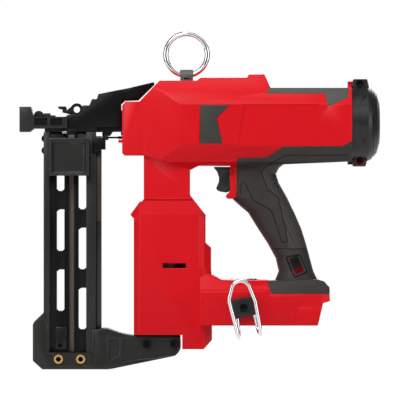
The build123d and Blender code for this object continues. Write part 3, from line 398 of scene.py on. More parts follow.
def make_finishes():
    """All the finishes of the tool, by name."""
    colours = bpy.context.scene.stapler_colours
    red, rubber, pad = tuple(colours.housing), tuple(colours.rubber), tuple(colours.pad)
    black, wire, brass = tuple(colours.coating), tuple(colours.wire), tuple(colours.brass)
    # edges: how far the rounded edges are lightened, partly as wear and partly as a painted highlight
    finish("red_nylon", red, 0.36, grain=0.5, depth=0.25, strength=0.08, wear=0.08,
           wear_and_painted_light=(0.86, 0.03, 0.045), worn_rough=-0.1, drift=0.05, edges=0.35, shine=0.2)
    finish("grip_rubber", rubber, 0.55, grain=0.45, depth=0.6, strength=0.3, wear=0.2,
           wear_and_painted_light=(0.095, 0.088, 0.080), worn_rough=-0.08, drift=0.25, edges=0.4, shine=0.3, relief=knurled_back)
    finish("pad_rubber", pad, 0.62, grain=0.6, depth=0.7, strength=0.25, wear=0.2,
           wear_and_painted_light=(0.16, 0.16, 0.15), worn_rough=-0.05, drift=0.16, edges=0.5, shine=0.3)
    finish("side_rubber", (0.040, 0.040, 0.033), 0.58, grain=0.6, depth=0.7, strength=0.22, wear=0.2,
           wear_and_painted_light=(0.09, 0.09, 0.08), worn_rough=-0.05, drift=0.16, edges=0.5, shine=0.3)
    finish("deep_black", (0.005, 0.005, 0.005), 0.34, grain=0.6, depth=0.4, strength=0.16, wear=0.2,
           wear_and_painted_light=(0.032, 0.031, 0.030), drift=0.25, edges=0.9, shine=0.16)
    finish("screw_black", (0.003, 0.003, 0.003), 0.34, grain=0.4, depth=0.3, strength=0.12,
           wear=0.15, wear_and_painted_light=(0.10, 0.098, 0.095), drift=0.25, edges=0.9, shine=0.08)
    finish("black_nylon", (0.016, 0.016, 0.016), 0.36, grain=0.5, depth=0.35, strength=0.14, wear=0.16,
           wear_and_painted_light=(0.055, 0.055, 0.053), drift=0.2, edges=0.7, shine=0.35)
    finish("black_coating", black, 0.36, grain=0.9, depth=0.5, strength=0.2, wear=0.26,
           wear_and_painted_light=(0.065, 0.063, 0.060), worn_rough=-0.04, drift=0.3, edges=0.9, shine=0.35)
    finish("black_oxide", (0.020, 0.020, 0.021), 0.32, metallic=0.6, grain=0.5, depth=0.3, strength=0.15,
           wear=0.35, wear_and_painted_light=(0.14, 0.135, 0.13), drift=0.25, edges=0.8)
    finish("ground_steel", (0.20, 0.16, 0.14), 0.46, metallic=0.6, grain=0.5, depth=0.2, strength=0.06,
           wear=0.08, wear_and_painted_light=(0.34, 0.29, 0.26), drift=0.25, edges=0.7, relief=ground_lines)
    # rear strip: its brownish base colour is a painted reflection of the red housing; only below Z -98 mm does it
    # take the plain dark colour
    finish("dark_steel", (0.085, 0.068, 0.060), 0.36, metallic=0.6, grain=0.5, depth=0.2, strength=0.08,
           wear=0.1, wear_and_painted_light=(0.040, 0.040, 0.039), drift=0.3, edges=0.3, relief=ground_lines_painted_reflection)
    finish("machined_steel", (0.42, 0.42, 0.43), 0.28, metallic=1.0, grain=0.4, depth=0.2, strength=0.1,
           wear=0.2, wear_and_painted_light=(0.6, 0.6, 0.6), drift=0.15)
    finish("bright_wire", wire, 0.10, metallic=1.0, grain=1.6, depth=0.3, strength=0.06, wear=0.3,
           wear_and_painted_light=(0.42, 0.42, 0.42), worn_rough=0.12, drift=0.12)
    finish("turned_brass", brass, 0.24, metallic=1.0, grain=0.4, depth=0.3, strength=0.12, wear=0.3,
           wear_and_painted_light=(0.92, 0.70, 0.34), drift=0.15)
    finish("cast_alloy", (0.46, 0.46, 0.47), 0.44, metallic=1.0, grain=0.8, depth=0.5, strength=0.22,
           wear=0.2, wear_and_painted_light=(0.62, 0.62, 0.62), drift=0.15)
    finish("steel_sheets", (0.30, 0.30, 0.31), 0.42, metallic=1.0, grain=0.4, depth=0.3, strength=0.4,
           wear=0.15, wear_and_painted_light=(0.5, 0.5, 0.5), drift=0.15, relief=stacked_sheets)
    finish("seal_rubber", (0.012, 0.012, 0.012), 0.5, grain=0.4, depth=0.4, strength=0.15, wear=0.1,
           wear_and_painted_light=(0.04, 0.04, 0.04), drift=0.15)
    finish("board_lacquer", (0.010, 0.065, 0.030), 0.34, grain=1.2, depth=0.4, strength=0.1, wear=0.12,
           wear_and_painted_light=(0.05, 0.16, 0.08), drift=0.2, coat=0.3)
    finish("red_accent", (0.26, 0.004, 0.010), 0.38, grain=0.4, depth=0.25, strength=0.1, wear=0.15,
           wear_and_painted_light=(0.4, 0.05, 0.06), drift=0.08)
    finish("grey_strap", (0.13, 0.13, 0.115), 0.40, metallic=0.1, grain=0.6, depth=0.4, strength=0.16,
           wear=0.3, wear_and_painted_light=(0.24, 0.24, 0.23), drift=0.15, edges=0.8)


# Mesh helpers

def merged(*nodes):
    """Clean copy of solids: shared corners joined, each flat area one face, face borders marked crisp."""
    mesh = bmesh.new()
    for node in nodes:
        mesh.from_mesh(frame["nodes"][node].data)
    crisp = mesh.edges.layers.int.new("crisp")
    for edge in mesh.edges:
        edge[crisp] = edge.is_boundary
    bmesh.ops.remove_doubles(mesh, verts=mesh.verts, dist=2e-6)
    bmesh.ops.dissolve_limit(mesh, angle_limit=math.radians(1), verts=mesh.verts, edges=mesh.edges)
    return mesh


def room_beside(edge, face):
    """Least free width of a face beside one of its edges."""
    loop = next(item for item in edge.link_loops if item.face == face)
    start, end = loop.vert.co, loop.link_loop_next.vert.co
    along = (end - start).normalized()
    inward = face.normal.cross(along)
    room = 1.0
    for share in (0.1, 0.5, 0.9):
        origin = start.lerp(end, share)
        for other in face.edges:
            if other == edge:
                continue
            a, b = (vert.co - origin for vert in other.verts)
            a_side, b_side = a.dot(along), b.dot(along)
            if a_side * b_side > 0 or a_side == b_side:
                continue
            depth = a.lerp(b, a_side / (a_side - b_side)).dot(inward)
            if depth > 1e-6:
                room = min(room, depth)
    return room


def crossed_places(mesh):
    """Points where the outline of a face runs across itself."""
    places = []
    mesh.normal_update()
    for face in mesh.faces:
        if len(face.verts) < 6:
            continue
        side = face.normal.orthogonal().normalized()
        up = face.normal.cross(side)
        ring = [(Vector((v.co.dot(side), v.co.dot(up))), v.co) for v in face.verts]
        steps = list(zip(ring, ring[1:] + ring[:1]))
        for i, ((a, a_co), (b, b_co)) in enumerate(steps):
            low_x, high_x = min(a.x, b.x), max(a.x, b.x)
            for (c, _), (d, _) in steps[i + 2:]:
                if max(c.x, d.x) < low_x or min(c.x, d.x) > high_x:
                    continue
                if min((p - q).length for p in (a, b) for q in (c, d)) < 5e-6:
                    continue
                if intersect_line_line_2d(a, b, c, d):
                    places += [a_co.copy(), b_co.copy()]
    return places


def rounded(mesh, width, least_angle=24, least_length=2.0, segments=2):
    """Rounds the long sharp outer edges, short of the crowded corners, and marks them for the lighter edge colour,
    which is partly wear and partly a painted highlight.
    """
    mesh.verts.index_update()
    chosen = {
        e.index for e in mesh.edges
        if len(e.link_faces) == 2 and e.is_convex and e.calc_length() > least_length * MM
        and e.calc_face_angle(0) > math.radians(least_angle)
        and min(room_beside(e, face) for face in e.link_faces) > 1.3 * width
    }
    tight = {
        v.index for v in mesh.verts
        if any(e.index not in chosen and e.calc_length() < 1.6 * width for e in v.link_edges)
    }
    for attempt in range(4):
        trial = mesh.copy()
        edge_mark_layer = trial.faces.layers.float.new("edge_wear_and_highlight")
        trial.edges.ensure_lookup_table()
        edges = []
        for edge in [trial.edges[index] for index in sorted(chosen)]:
            for vert in list(edge.verts):
                if vert.index not in tight:
                    continue
                length = edge.calc_length()
                if length < 7 * width:
                    break
                bmesh.utils.edge_split(edge, vert, 2.5 * width / length)
            else:
                edges.append(edge)
        made = bmesh.ops.bevel(trial, geom=edges, offset=width, offset_type="OFFSET", segments=segments,
                               profile=0.5, affect="EDGES", clamp_overlap=False, material=-1)
        places = crossed_places(trial)
        if not places or attempt == 3:
            break
        trial.free()
        for e in mesh.edges:
            if e.index not in chosen:
                continue
            for vert in e.verts:
                if all((place - vert.co).length > 5 * width for place in places):
                    continue
                if vert.index in tight:
                    chosen.discard(e.index)
                tight.add(vert.index)
    for face in made["faces"]:
        face[edge_mark_layer] = 1.0
    mesh.free()
    return trial


def piece(mesh, name, body, *materials, replaces=(), smooth=50, slot=None):
    """Makes an object of a bmesh, shades it, and lets it ride on its body."""
    crisp = mesh.edges.layers.int.get("crisp")
    # faces of the rounded edges, which the finishes lighten partly as wear and partly as a painted highlight
    edge_mark_layer = mesh.faces.layers.float.get("edge_wear_and_highlight")
    for face in mesh.faces:
        face.smooth = True
    for edge in mesh.edges:
        angle = math.degrees(edge.calc_face_angle(0))
        border = crisp and edge[crisp] and not (edge_mark_layer and any(face[edge_mark_layer] for face in edge.link_faces))
        edge.smooth = angle < (4 if border else smooth)
    data = bpy.data.meshes.new(name)
    mesh.to_mesh(data)
    mesh.free()
    if "custom_normal" in data.attributes:
        data.attributes.remove(data.attributes["custom_normal"])
    obj = bpy.data.objects.new(name, data)
    bpy.context.scene.collection.objects.link(obj)
    data.materials.clear()
    for material in materials:
        data.materials.append(finishes[material])
    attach(obj, body)
    if replaces:
        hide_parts(*replaces)
    return obj


def body_of(node):
    """Body that a node rides on."""
    return frame["nodes"][node]["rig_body"]


def dressed(node, material, edge, slot=None, least_length=2.0, name=None, least_angle=24, smooth=50):
    """Copy of one node with rounded edges, in its place."""
    mesh = rounded(merged(node), edge, least_angle, least_length) if edge else merged(node)
    return piece(mesh, name or f"{node}_dressed", body_of(node), material,
                 replaces=(node,), slot=slot, smooth=smooth)


def repaint(material, *nodes):
    """Gives solids that stay as they are a finish."""
    for node in nodes:
        data = frame["nodes"][node].data
        data.materials.clear()
        data.materials.append(finishes[material])


def slab(points, low, high, axis="Y"):
    """Outline in millimetres, solid from low to high along an axis; points are in the other two axes."""
    mesh = bmesh.new()
    place = {"X": lambda u, w: (low, u, w), "Y": lambda u, w: (u, low, w), "Z": lambda u, w: (u, w, low)}[axis]
    corners = [mesh.verts.new(Vector(place(u, w)) * MM) for u, w in points]
    face = mesh.faces.new(corners)
    made = bmesh.ops.extrude_face_region(mesh, geom=[face])
    moved = [v for v in made["geom"] if isinstance(v, bmesh.types.BMVert)]
    step = Vector([(high - low) * MM if name == axis else 0 for name in "XYZ"])
    bmesh.ops.translate(mesh, verts=moved, vec=step)
    bmesh.ops.recalc_face_normals(mesh, faces=mesh.faces)
    return mesh


def bar(radius, start, end, segments=32, mesh=None):
    """Round bar between two points in millimetres."""
    mesh = mesh or bmesh.new()
    a, b = Vector(start) * MM, Vector(end) * MM
    turn = (b - a).to_track_quat("Z", "Y").to_matrix().to_4x4()
    bmesh.ops.create_cone(mesh, cap_ends=True, segments=segments, radius1=radius * MM, radius2=radius * MM,
                          depth=(b - a).length, matrix=Matrix.Translation((a + b) / 2) @ turn)
    return mesh


def loose(mesh, name="cutter"):
    """Object of a bmesh for a cut, in no body."""
    data = bpy.data.meshes.new(name)
    mesh.to_mesh(data)
    mesh.free()
    obj = bpy.data.objects.new(name, data)
    bpy.context.scene.collection.objects.link(obj)
    return obj


def carve(obj, cutter, lining=None):
    """Cuts one object out of another, lines the cut with a finish, and removes the cutter."""
    if lining:
        if finishes[lining] not in list(obj.data.materials):
            obj.data.materials.append(finishes[lining])
        index = list(obj.data.materials).index(finishes[lining])
        for _ in range(index + 1):
            cutter.data.materials.append(finishes[lining])
        for polygon in cutter.data.polygons:
            polygon.material_index = index
    change = obj.modifiers.new("carve", "BOOLEAN")
    change.object, change.operation, change.solver = cutter, "DIFFERENCE", "EXACT"
    cut = bpy.data.meshes.new_from_object(obj.evaluated_get(bpy.context.evaluated_depsgraph_get()))
    obj.modifiers.clear()
    if len(cut.polygons) < 0.8 * len(obj.data.polygons):
        raise RuntimeError(f"The cut in {obj.name} failed")
    mesh = bmesh.new()
    mesh.from_mesh(cut)
    for edge in mesh.edges:
        if edge.calc_face_angle(0) > math.radians(42):
            edge.smooth = False
    mesh.to_mesh(cut)
    mesh.free()
    obj.data = cut
    bpy.data.objects.remove(cutter)
    return obj


def draped(surface, route, side, radius, step=1.2):
    """Thin tube that follows (x, z) points over a surface, seen from one side."""
    places = []
    for a, b in zip(route, route[1:]):
        count = max(1, round(math.dist(a, b) / step))
        places += [(a[0] + (b[0] - a[0]) * k / count, a[1] + (b[1] - a[1]) * k / count) for k in range(count)]
    places.append(route[-1])
    line = bpy.data.curves.new("seam_line", "CURVE")
    line.dimensions, line.bevel_depth, line.bevel_resolution, line.use_fill_caps = "3D", radius, 2, True
    hits = []
    for x, z in places:
        hit = surface.ray_cast(Vector((x * MM, side * 0.2, z * MM)), Vector((0, -side, 0)))[0]
        if hit is not None:
            hits.append(hit)
    spline = line.splines.new("POLY")
    if route[0] == route[-1]:
        hits.pop()
        spline.use_cyclic_u = True
    spline.points.add(len(hits) - 1)
    for point, hit in zip(spline.points, hits):
        point.co = (*hit, 1)
    curve = bpy.data.objects.new("seam_line", line)
    bpy.context.scene.collection.objects.link(curve)
    data = bpy.data.meshes.new_from_object(curve.evaluated_get(bpy.context.evaluated_depsgraph_get()))
    bpy.data.objects.remove(curve)
    tube = bpy.data.objects.new("seam_tube", data)
    bpy.context.scene.collection.objects.link(tube)
    return tube


def paint(obj, material, inside):
    """Gives the faces whose centre passes a test a further finish."""
    obj.data.materials.append(finishes[material])
    index = len(obj.data.materials) - 1
    for polygon in obj.data.polygons:
        x, y, z = polygon.center / MM
        if inside(x, y, z):
            polygon.material_index = index


class StaplerPiece:
    """What the operators of the tool share."""

    bl_options = {"REGISTER", "UNDO"}


class STAPLER_OT_housing(StaplerPiece, bpy.types.Operator):
    """Two moulded halves of the housing with rounded edges, and the raised cheeks of the foot"""

    bl_idname = "stapler.housing"
    bl_label = "Housing"

    def execute(self, context):
        edge = context.scene.stapler_sizes.housing_edge
        for node in ("housing_near", "housing_far"):
            shell = dressed(node, "red_nylon", edge, "red_housing", least_length=3.0, least_angle=20)
            if node == "housing_near":
                carve(shell, loose(slab([(178.3, -24.01), (185.5, -21.0), (185.5, -27), (178.3, -27)],
                                        -144, -91.8, "Z")))
                carve(shell, loose(slab([(-24.01, -91.8), (-21.8, -76.2), (-27, -76.2), (-27, -91.8)],
                                        100, 200, "X")))
            paint(shell, "grip_rubber", lambda x, y, z: x > 327 and z < -34)
        for side, name in ((-1, "foot_cheek_near"), (1, "foot_cheek_far")):
            y0, y1 = sorted((side * 37.4, side * 38.6))
            cheek = slab([(272.9, -201.5), (278, -184.2), (279.4, -183.2), (300.4, -182.6), (301.2, -183.6),
                          (297, -201.5)], y0, y1)
            cheek = rounded(cheek, 0.35 * MM, least_length=0.1)
            piece(cheek, name, "tool_body", "red_nylon", slot="red_housing")
            edge_line = [(side * 29, -179), (side * 38, -179), (side * 37.6, -168.2), (side * 36.4, -166.8),
                         (side * 29, -165.9)]
            for x0, x1, top, label in ((180.2, 249, -165, "front"), (249, 300, -170.8, "rear")):
                shoulder = slab([(y, min(z, top)) for y, z in edge_line], x0, x1, "X")
                piece(rounded(shoulder, 0.4 * MM, least_length=0.1), f"{name.replace('cheek', 'shoulder')}_{label}",
                      "tool_body", "red_nylon", slot="red_housing")
        ledge = slab([(196, -153.6), (200, -156.0), (203, -156.6), (247.7, -156.6), (250, -163), (196, -163)],
                     -25.6, 25.6)
        ledge = piece(rounded(ledge, 0.6 * MM), "foot_ledge", "tool_body", "red_nylon", slot="red_housing")
        low, high = (Vector(corner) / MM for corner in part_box("keypad"))
        pocket = [(low.x - 0.3, -165), (high.x + 0.3, -165), (high.x + 0.3, -150), (low.x - 0.3, -150)]
        carve(ledge, loose(slab(pocket, low.y - 0.3, high.y + 0.3)))
        return {"FINISHED"}


class STAPLER_OT_grips(StaplerPiece, bpy.types.Operator):
    """Soft overmould of the handle, with its moulded seams and knurled back"""

    bl_idname = "stapler.grips"
    bl_label = "Grips"

    def execute(self, context):
        radius = context.scene.stapler_sizes.seam_radius
        long_seam = [
            (327, -32.5), (264.8, -32.5), (242, -46), (241, -48.7), (247.5, -66.1), (252.5, -70.5),
            (257.8, -74.2), (260.5, -85.1), (264.8, -103.5), (267, -116.5), (266.6, -118.8),
            (264.3, -119.8), (262.2, -118.4), (260.5, -115.4), (256.2, -102), (251.8, -89.4),
            (248.5, -85.6), (240, -81.2), (233.4, -77.5), (230.1, -71), (226, -62.5), (223.6, -59),
            (222.3, -58.8), (221.4, -60.1), (220.4, -71),
        ]
        cross_seam = [(252.6, -125.7), (287.4, -125.7)]
        bezel = [(267.0, -133.6), (278.6, -131.7), (280.2, -132.9), (286.4, -147.7), (285.8, -149.2),
                 (275.0, -153.8), (273.6, -152.9), (266.1, -135.0), (267.0, -133.6)]
        for side, node in ((-1, "grip_near"), (1, "grip_far")):
            mesh = rounded(merged(node), 0.5 * MM, least_angle=30, least_length=2.0)
            surface = BVHTree.FromBMesh(mesh)
            grip = piece(mesh, f"{node}_dressed", "tool_body", "grip_rubber", replaces=(node,),
                         slot="dark_rubber")
            # the seams, and on the near side the groove round the lock slider, are lined deep black as painted
            # shade in the grooves
            for route in (long_seam, cross_seam):
                carve(grip, draped(surface, route, side, radius), "deep_black")
            if side < 0:
                carve(grip, draped(surface, bezel, side, 0.75 * MM, 0.8), "deep_black")
        return {"FINISHED"}


class STAPLER_OT_rear_cap(StaplerPiece, bpy.types.Operator):
    """Rear cap of the air spring with its two lugs"""

    bl_idname = "stapler.rear_cap"
    bl_label = "Rear cap"

    def execute(self, context):
        cap = dressed("rear_cap", "black_nylon", 0.6 * MM, "dark_plastic", least_angle=40)
        facet = [(345.2, 27.2), (343, 26), (339, 20), (339, -11.5), (343.2, -20.6), (345.4, -17), (345.4, 25)]
        for y0, y1 in ((-45, -18), (18, 45)):
            shell = carve(loose(slab(facet, y0, y1)), loose(bar(36.6, (330, 0, -0.5), (352, 0, -0.5), 96)))
            carve(cap, shell)
        groove = bar(41, (352.0, 0, -0.5), (352.9, 0, -0.5), 96)
        inner = bar(32.6, (351.0, 0, -0.5), (354, 0, -0.5), 96)
        carve(cap, carve(loose(groove), loose(inner)))
        ring = bar(4.9, (339.5, -11.5, -37.8), (339.5, -10.6, -37.8), 40)
        collar = carve(loose(ring), loose(bar(3.7, (339.5, -14, -37.8), (339.5, -8, -37.8), 40)))
        shape = bmesh.new()
        shape.from_mesh(collar.data)
        bpy.data.objects.remove(collar)
        piece(rounded(shape, 0.2 * MM, 60, 0.1), "cap_screw_ring", "tool_body", "red_accent", slot="red_housing")
        return {"FINISHED"}


class STAPLER_OT_pads(StaplerPiece, bpy.types.Operator):
    """Rubber pads on the top and the sides of the barrel"""

    bl_idname = "stapler.pads"
    bl_label = "Pads"

    def execute(self, context):
        dressed("top_pad", "pad_rubber", 0.5 * MM, "grey_rubber")
        dressed("side_pads", "side_rubber", 0.5 * MM, "dark_rubber")
        return {"FINISHED"}


class STAPLER_OT_nose(StaplerPiece, bpy.types.Operator):
    """Nose casting, jam latch and sliding contact foot"""

    bl_idname = "stapler.nose"
    bl_label = "Nose"

    def execute(self, context):
        edge = context.scene.stapler_sizes.metal_edge
        dressed("nose_block", "deep_black", edge, "black_metal", least_length=1.2)
        dressed("nose_latch", "black_oxide", edge, "black_steel", least_length=0.8)
        foot = dressed("contact_foot", "black_coating", edge, "black_steel", least_length=1.2)
        # the windows in the arms of the contact foot are painted deep black, as painted shade in their recesses
        paint(foot, "deep_black", lambda x, y, z: 14.5 < x < 43 and -3 < z < 5 and abs(y) < 15.45)
        dressed("contact_rod", "black_oxide", 0, "black_steel")
        lip = slab([(42.7, -11), (55.8, -11), (55.8, -8.6), (42.7, -8.6)], -12.9, -12.1)
        lip = rounded(lip, 0.25 * MM, least_length=0.1)
        piece(lip, "band_clip", "tool_body", "machined_steel", slot="steel")
        dressed("lifter_frame", "cast_alloy", edge, "aluminium")
        return {"FINISHED"}


class STAPLER_OT_magazine(StaplerPiece, bpy.types.Operator):
    """Slotted sides, rails and polished strips of the magazine"""

    bl_idname = "stapler.magazine"
    bl_label = "Magazine"

    def execute(self, context):
        edge = context.scene.stapler_sizes.metal_edge
        for node in ("magazine_side_near", "magazine_side_far"):
            side = dressed(node, "black_coating", edge, "black_metal", least_length=4.0)
            # the recessed web between the rails is painted deep black, as painted shade
            paint(side, "deep_black", lambda x, y, z: 30.2 < x < 66.4 and abs(y) < 12.0)
        dressed("magazine_front_rail", "black_coating", edge, "black_metal", least_length=4.0)
        dressed("core_rail", "ground_steel", 0, "steel")
        dressed("rear_strip", "dark_steel", 0.4 * MM, "steel")
        return {"FINISHED"}


class STAPLER_OT_pusher(StaplerPiece, bpy.types.Operator):
    """Staple pusher with its recessed thumb face and band spring"""

    bl_idname = "stapler.pusher"
    bl_label = "Pusher"

    def execute(self, context):
        dressed("pusher", "black_coating", 0.5 * MM, "black_metal", least_length=1.2)
        tray = bmesh.new()
        loops = []
        for x0, x1, z0, z1, y in ((32.1, 66.9, -50.9, -19.1, -25.75), (36, 63.6, -48.2, -21.4, -24.3),
                                  (32.1, 66.9, -50.9, -19.1, -24.3)):
            ring = [(x0, z0), (x1, z0), (x1, z1), (x0, z1)]
            loops.append([tray.verts.new((x * MM, y * MM, z * MM)) for x, z in ring])
        for a, b in zip(loops, loops[1:] + loops[:1]):
            for k in range(4):
                tray.faces.new((a[k], a[(k + 1) % 4], b[(k + 1) % 4], b[k]))
        bmesh.ops.recalc_face_normals(tray, faces=tray.faces)
        piece(rounded(tray, 0.2 * MM, least_angle=40), "thumb_tray", body_of("pusher"), "black_oxide",
              slot="black_metal", smooth=30)
        repaint("machined_steel", "pusher_coil", "pusher_band")
        return {"FINISHED"}


class STAPLER_OT_foot_bracket(StaplerPiece, bpy.types.Operator):
    """Cast bracket under the magazine, its brass inserts and the catch"""

    bl_idname = "stapler.foot_bracket"
    bl_label = "Foot bracket"

    def execute(self, context):
        edge = context.scene.stapler_sizes.metal_edge
        dressed("magazine_foot", "black_coating", 0.6 * MM, "black_metal", least_length=1.2)
        dressed("brass_inserts", "turned_brass", 0, "brass")
        dressed("magazine_catch", "black_oxide", edge, "black_steel", least_length=1.0)
        return {"FINISHED"}


class STAPLER_OT_screws(StaplerPiece, bpy.types.Operator):
    """Screws and pivot pins"""

    bl_idname = "stapler.screws"
    bl_label = "Screws"

    def execute(self, context):
        for node in ("body_screws", "small_screws"):
            dressed(node, "screw_black", 0.25 * MM, "black_steel", least_length=0.2, least_angle=60)
        repaint("machined_steel", "pivot_pins")
        return {"FINISHED"}


class STAPLER_OT_controls(StaplerPiece, bpy.types.Operator):
    """Trigger, lock slider, keypad and button"""

    bl_idname = "stapler.controls"
    bl_label = "Controls"

    def execute(self, context):
        dressed("trigger", "black_nylon", 1.2 * MM, "dark_plastic", least_length=1.0)
        dressed("lock_slider", "deep_black", 0.4 * MM, "dark_plastic")
        dressed("keypad", "deep_black", 0.4 * MM, "dark_plastic")
        dressed("mode_button", "seal_rubber", 0.7 * MM, "dark_rubber")
        repaint("black_nylon", "switches", "switch_plunger", "battery_terminals")
        repaint("machined_steel", "trigger_spring", "contact_spring")
        return {"FINISHED"}


class STAPLER_OT_hang_ring(StaplerPiece, bpy.types.Operator):
    """Plated hang ring and its strap"""

    bl_idname = "stapler.hang_ring"
    bl_label = "Hang ring"

    def execute(self, context):
        dressed("hang_ring", "bright_wire", 0, "zinc_wire", smooth=60)
        strap = dressed("ring_strap", "grey_strap", 0.5 * MM, "steel", least_length=1.5)
        front = min(vert.co.y for vert in strap.data.vertices) / MM
        slot = slab([(161.6, 50.6), (171.8, 50.6), (171.8, 53.9), (161.6, 53.9)], front - 1, front + 1.2)
        # the shallow slot is lined deep black, as painted shade inside it
        carve(strap, loose(slot), "deep_black")
        return {"FINISHED"}


class STAPLER_OT_belt_hook(StaplerPiece, bpy.types.Operator):
    """Bent wire belt hook in its clamp"""

    bl_idname = "stapler.belt_hook"
    bl_label = "Belt hook"

    def execute(self, context):
        dressed("belt_hook", "bright_wire", 0, "zinc_wire", smooth=60)
        dressed("hook_clamp", "black_nylon", 0.5 * MM, "dark_plastic")
        return {"FINISHED"}


class STAPLER_OT_works(StaplerPiece, bpy.types.Operator):
    """Finishes of the drive, the air spring and the electronics inside"""

    bl_idname = "stapler.works"
    bl_label = "Works"

    def execute(self, context):
        repaint("cast_alloy", "lifter_cover", "gear_case", "cylinder", "cylinder_head", "piston")
        repaint("machined_steel", "bearings", "lifter_wheel", "lifter_pins", "carrier_shaft", "driver_blade",
                "rotor_shaft", "planet_gear_1", "planet_gear_2", "planet_gear_3")
        repaint("steel_sheets", "stator", "rotor")
        repaint("black_nylon", "fan", "motor_end_cap")
        repaint("seal_rubber", "bumper", "piston_seals")
        repaint("board_lacquer", "controller")
        return {"FINISHED"}


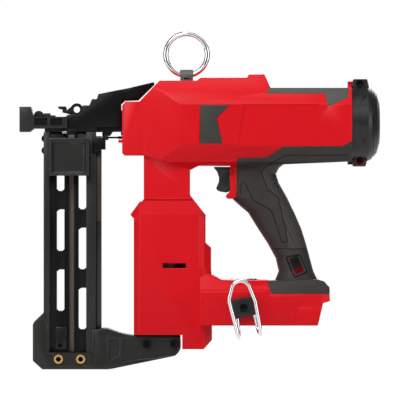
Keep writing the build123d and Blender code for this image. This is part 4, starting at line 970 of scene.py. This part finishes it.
class STAPLER_OT_stage(StaplerPiece, bpy.types.Operator):
    """Pale floor under a white world, soft lamps and the camera"""

    bl_idname = "stapler.stage"
    bl_label = "Stage"

    def execute(self, context):
        stage = context.scene.stapler_stage
        white = bpy.data.materials.new("studio_white")
        white.use_nodes = True
        tree = white.node_tree
        shader = tree.nodes["Principled BSDF"]
        shader.inputs["Base Color"].default_value = (0.45, 0.45, 0.45, 1)
        shader.inputs["Roughness"].default_value = 0.9
        shader.inputs["Specular IOR Level"].default_value = 0.1
        rays = add(tree, "ShaderNodeLightPath")
        glow = add(tree, "ShaderNodeEmission", {"Strength": 1.06})
        shared = math_node(tree, "MAXIMUM", rays.outputs["Is Camera Ray"], rays.outputs["Is Glossy Ray"])
        seen = math_node(tree, "MAXIMUM", shared, rays.outputs["Is Transmission Ray"])
        share = math_node(tree, "MULTIPLY", seen, 0.93)
        mix = add(tree, "ShaderNodeMixShader", {0: share, 1: shader.outputs[0], 2: glow.outputs[0]})
        tree.links.new(mix.outputs[0], tree.nodes["Material Output"].inputs["Surface"])
        low = min(v.co.z for v in frame["nodes"]["magazine_foot"].data.vertices)
        floor = bmesh.new()
        bmesh.ops.create_grid(floor, x_segments=1, y_segments=1, size=6.0,
                              matrix=Matrix.Translation((0.18, 0, low - 0.0004)))
        data = bpy.data.meshes.new("studio_floor")
        floor.to_mesh(data)
        floor.free()
        data.materials.append(white)
        ground = bpy.data.objects.new("studio_floor", data)
        context.scene.collection.objects.link(ground)

        felt = bpy.data.materials.new("card_felt")
        felt.use_nodes = True
        felt.node_tree.nodes["Principled BSDF"].inputs["Base Color"].default_value = (0.02, 0.02, 0.02, 1)
        for name, size, place, turn in (
            ("front_card", 1.3, (0.18, -2.6, -0.1), (90, 0, 0)),
            ("left_card", 1.2, (-0.85, 0.75, 0.1), (0, 90, 0)),
            ("right_card", 1.2, (1.21, 0.75, 0.1), (0, 90, 0)),
            ("top_card", 1.2, (0.18, 1.0, 1.1), (0, 0, 0)),
        ):
            card = bmesh.new()
            bmesh.ops.create_grid(card, x_segments=1, y_segments=1, size=size)
            data = bpy.data.meshes.new(name)
            card.to_mesh(data)
            card.free()
            data.materials.append(felt)
            shade = bpy.data.objects.new(name, data)
            shade.location = place
            shade.rotation_euler = [math.radians(angle) for angle in turn]
            shade.visible_camera = shade.visible_diffuse = shade.visible_shadow = False
            context.scene.collection.objects.link(shade)

        world = bpy.data.worlds.new("studio_light")
        context.scene.world = world
        world.use_nodes = True
        tree = world.node_tree
        back = tree.nodes["Background"]
        back.inputs["Color"].default_value = (1, 1, 1, 1)
        rays = add(tree, "ShaderNodeLightPath")
        shared = math_node(tree, "MAXIMUM", rays.outputs["Is Camera Ray"], rays.outputs["Is Glossy Ray"])
        seen = math_node(tree, "MAXIMUM", shared, rays.outputs["Is Transmission Ray"])
        strength = math_node(tree, "MULTIPLY_ADD", seen, 0.68, 0.32)
        tree.links.new(strength, back.inputs["Strength"])

        middle = Vector((0.18, 0, -0.077))
        for name, place, size, power in (
            ("key_lamp", (-0.30, -1.30, 1.00), 0.9, stage.key_power),
            ("left_lamp", (-1.20, -0.75, 0.15), 0.8, stage.fill_power),
            ("right_lamp", (1.55, -0.75, 0.15), 0.8, stage.fill_power),
            ("top_lamp", (0.20, 0.10, 1.35), 0.8, stage.fill_power),
            ("back_lamp", (0.50, 1.40, 0.80), 0.9, stage.key_power),
        ):
            lamp = bpy.data.lights.new(name, "AREA")
            lamp.energy, lamp.size = power, size
            holder = bpy.data.objects.new(name, lamp)
            holder.location = place
            holder.rotation_euler = (middle - Vector(place)).to_track_quat("-Z", "Y").to_euler()
            context.scene.collection.objects.link(holder)

        lens = bpy.data.cameras.new("camera")
        lens.sensor_width = 36
        lens.lens = 36 * stage.distance / 0.400
        camera = bpy.data.objects.new("camera", lens)
        camera.location = (middle.x, -stage.distance, middle.z)
        camera.rotation_euler = (math.radians(90), 0, 0)
        context.scene.collection.objects.link(camera)
        context.scene.camera = camera
        context.scene.view_settings.view_transform = "Standard"
        return {"FINISHED"}


PIECES = (
    STAPLER_OT_housing, STAPLER_OT_grips, STAPLER_OT_rear_cap, STAPLER_OT_pads, STAPLER_OT_nose,
    STAPLER_OT_magazine, STAPLER_OT_pusher, STAPLER_OT_foot_bracket, STAPLER_OT_screws,
    STAPLER_OT_controls, STAPLER_OT_hang_ring, STAPLER_OT_belt_hook, STAPLER_OT_works, STAPLER_OT_stage,
)


class STAPLER_PT_panel(bpy.types.Panel):
    """Lists the pieces of the stapler"""

    bl_label = "Fencing Stapler"
    bl_idname = "STAPLER_PT_panel"
    bl_space_type = "VIEW_3D"
    bl_region_type = "UI"
    bl_category = "Stapler"

    def draw(self, context):
        for group in (context.scene.stapler_colours, context.scene.stapler_sizes, context.scene.stapler_stage):
            box = self.layout.box()
            for name in group.__annotations__:
                box.prop(group, name)
        for operator in PIECES:
            self.layout.operator(operator.bl_idname)


GROUPS = (
    ("stapler_colours", StaplerColours), ("stapler_sizes", StaplerSizes), ("stapler_stage", StaplerStage),
)


def register():
    for name, group in GROUPS:
        bpy.utils.register_class(group)
        setattr(bpy.types.Scene, name, bpy.props.PointerProperty(type=group))
    for kind in (*PIECES, STAPLER_PT_panel):
        bpy.utils.register_class(kind)


def unregister():
    for kind in reversed((*PIECES, STAPLER_PT_panel)):
        bpy.utils.unregister_class(kind)
    for name, group in reversed(GROUPS):
        delattr(bpy.types.Scene, name)
        bpy.utils.unregister_class(group)


def main():
    """Builds every piece and the stage."""
    register()
    make_finishes()
    for operator in PIECES:
        name = operator.bl_idname.split(".")[1]
        getattr(bpy.ops.stapler, name)()


if __name__ == "__main__":
    main()
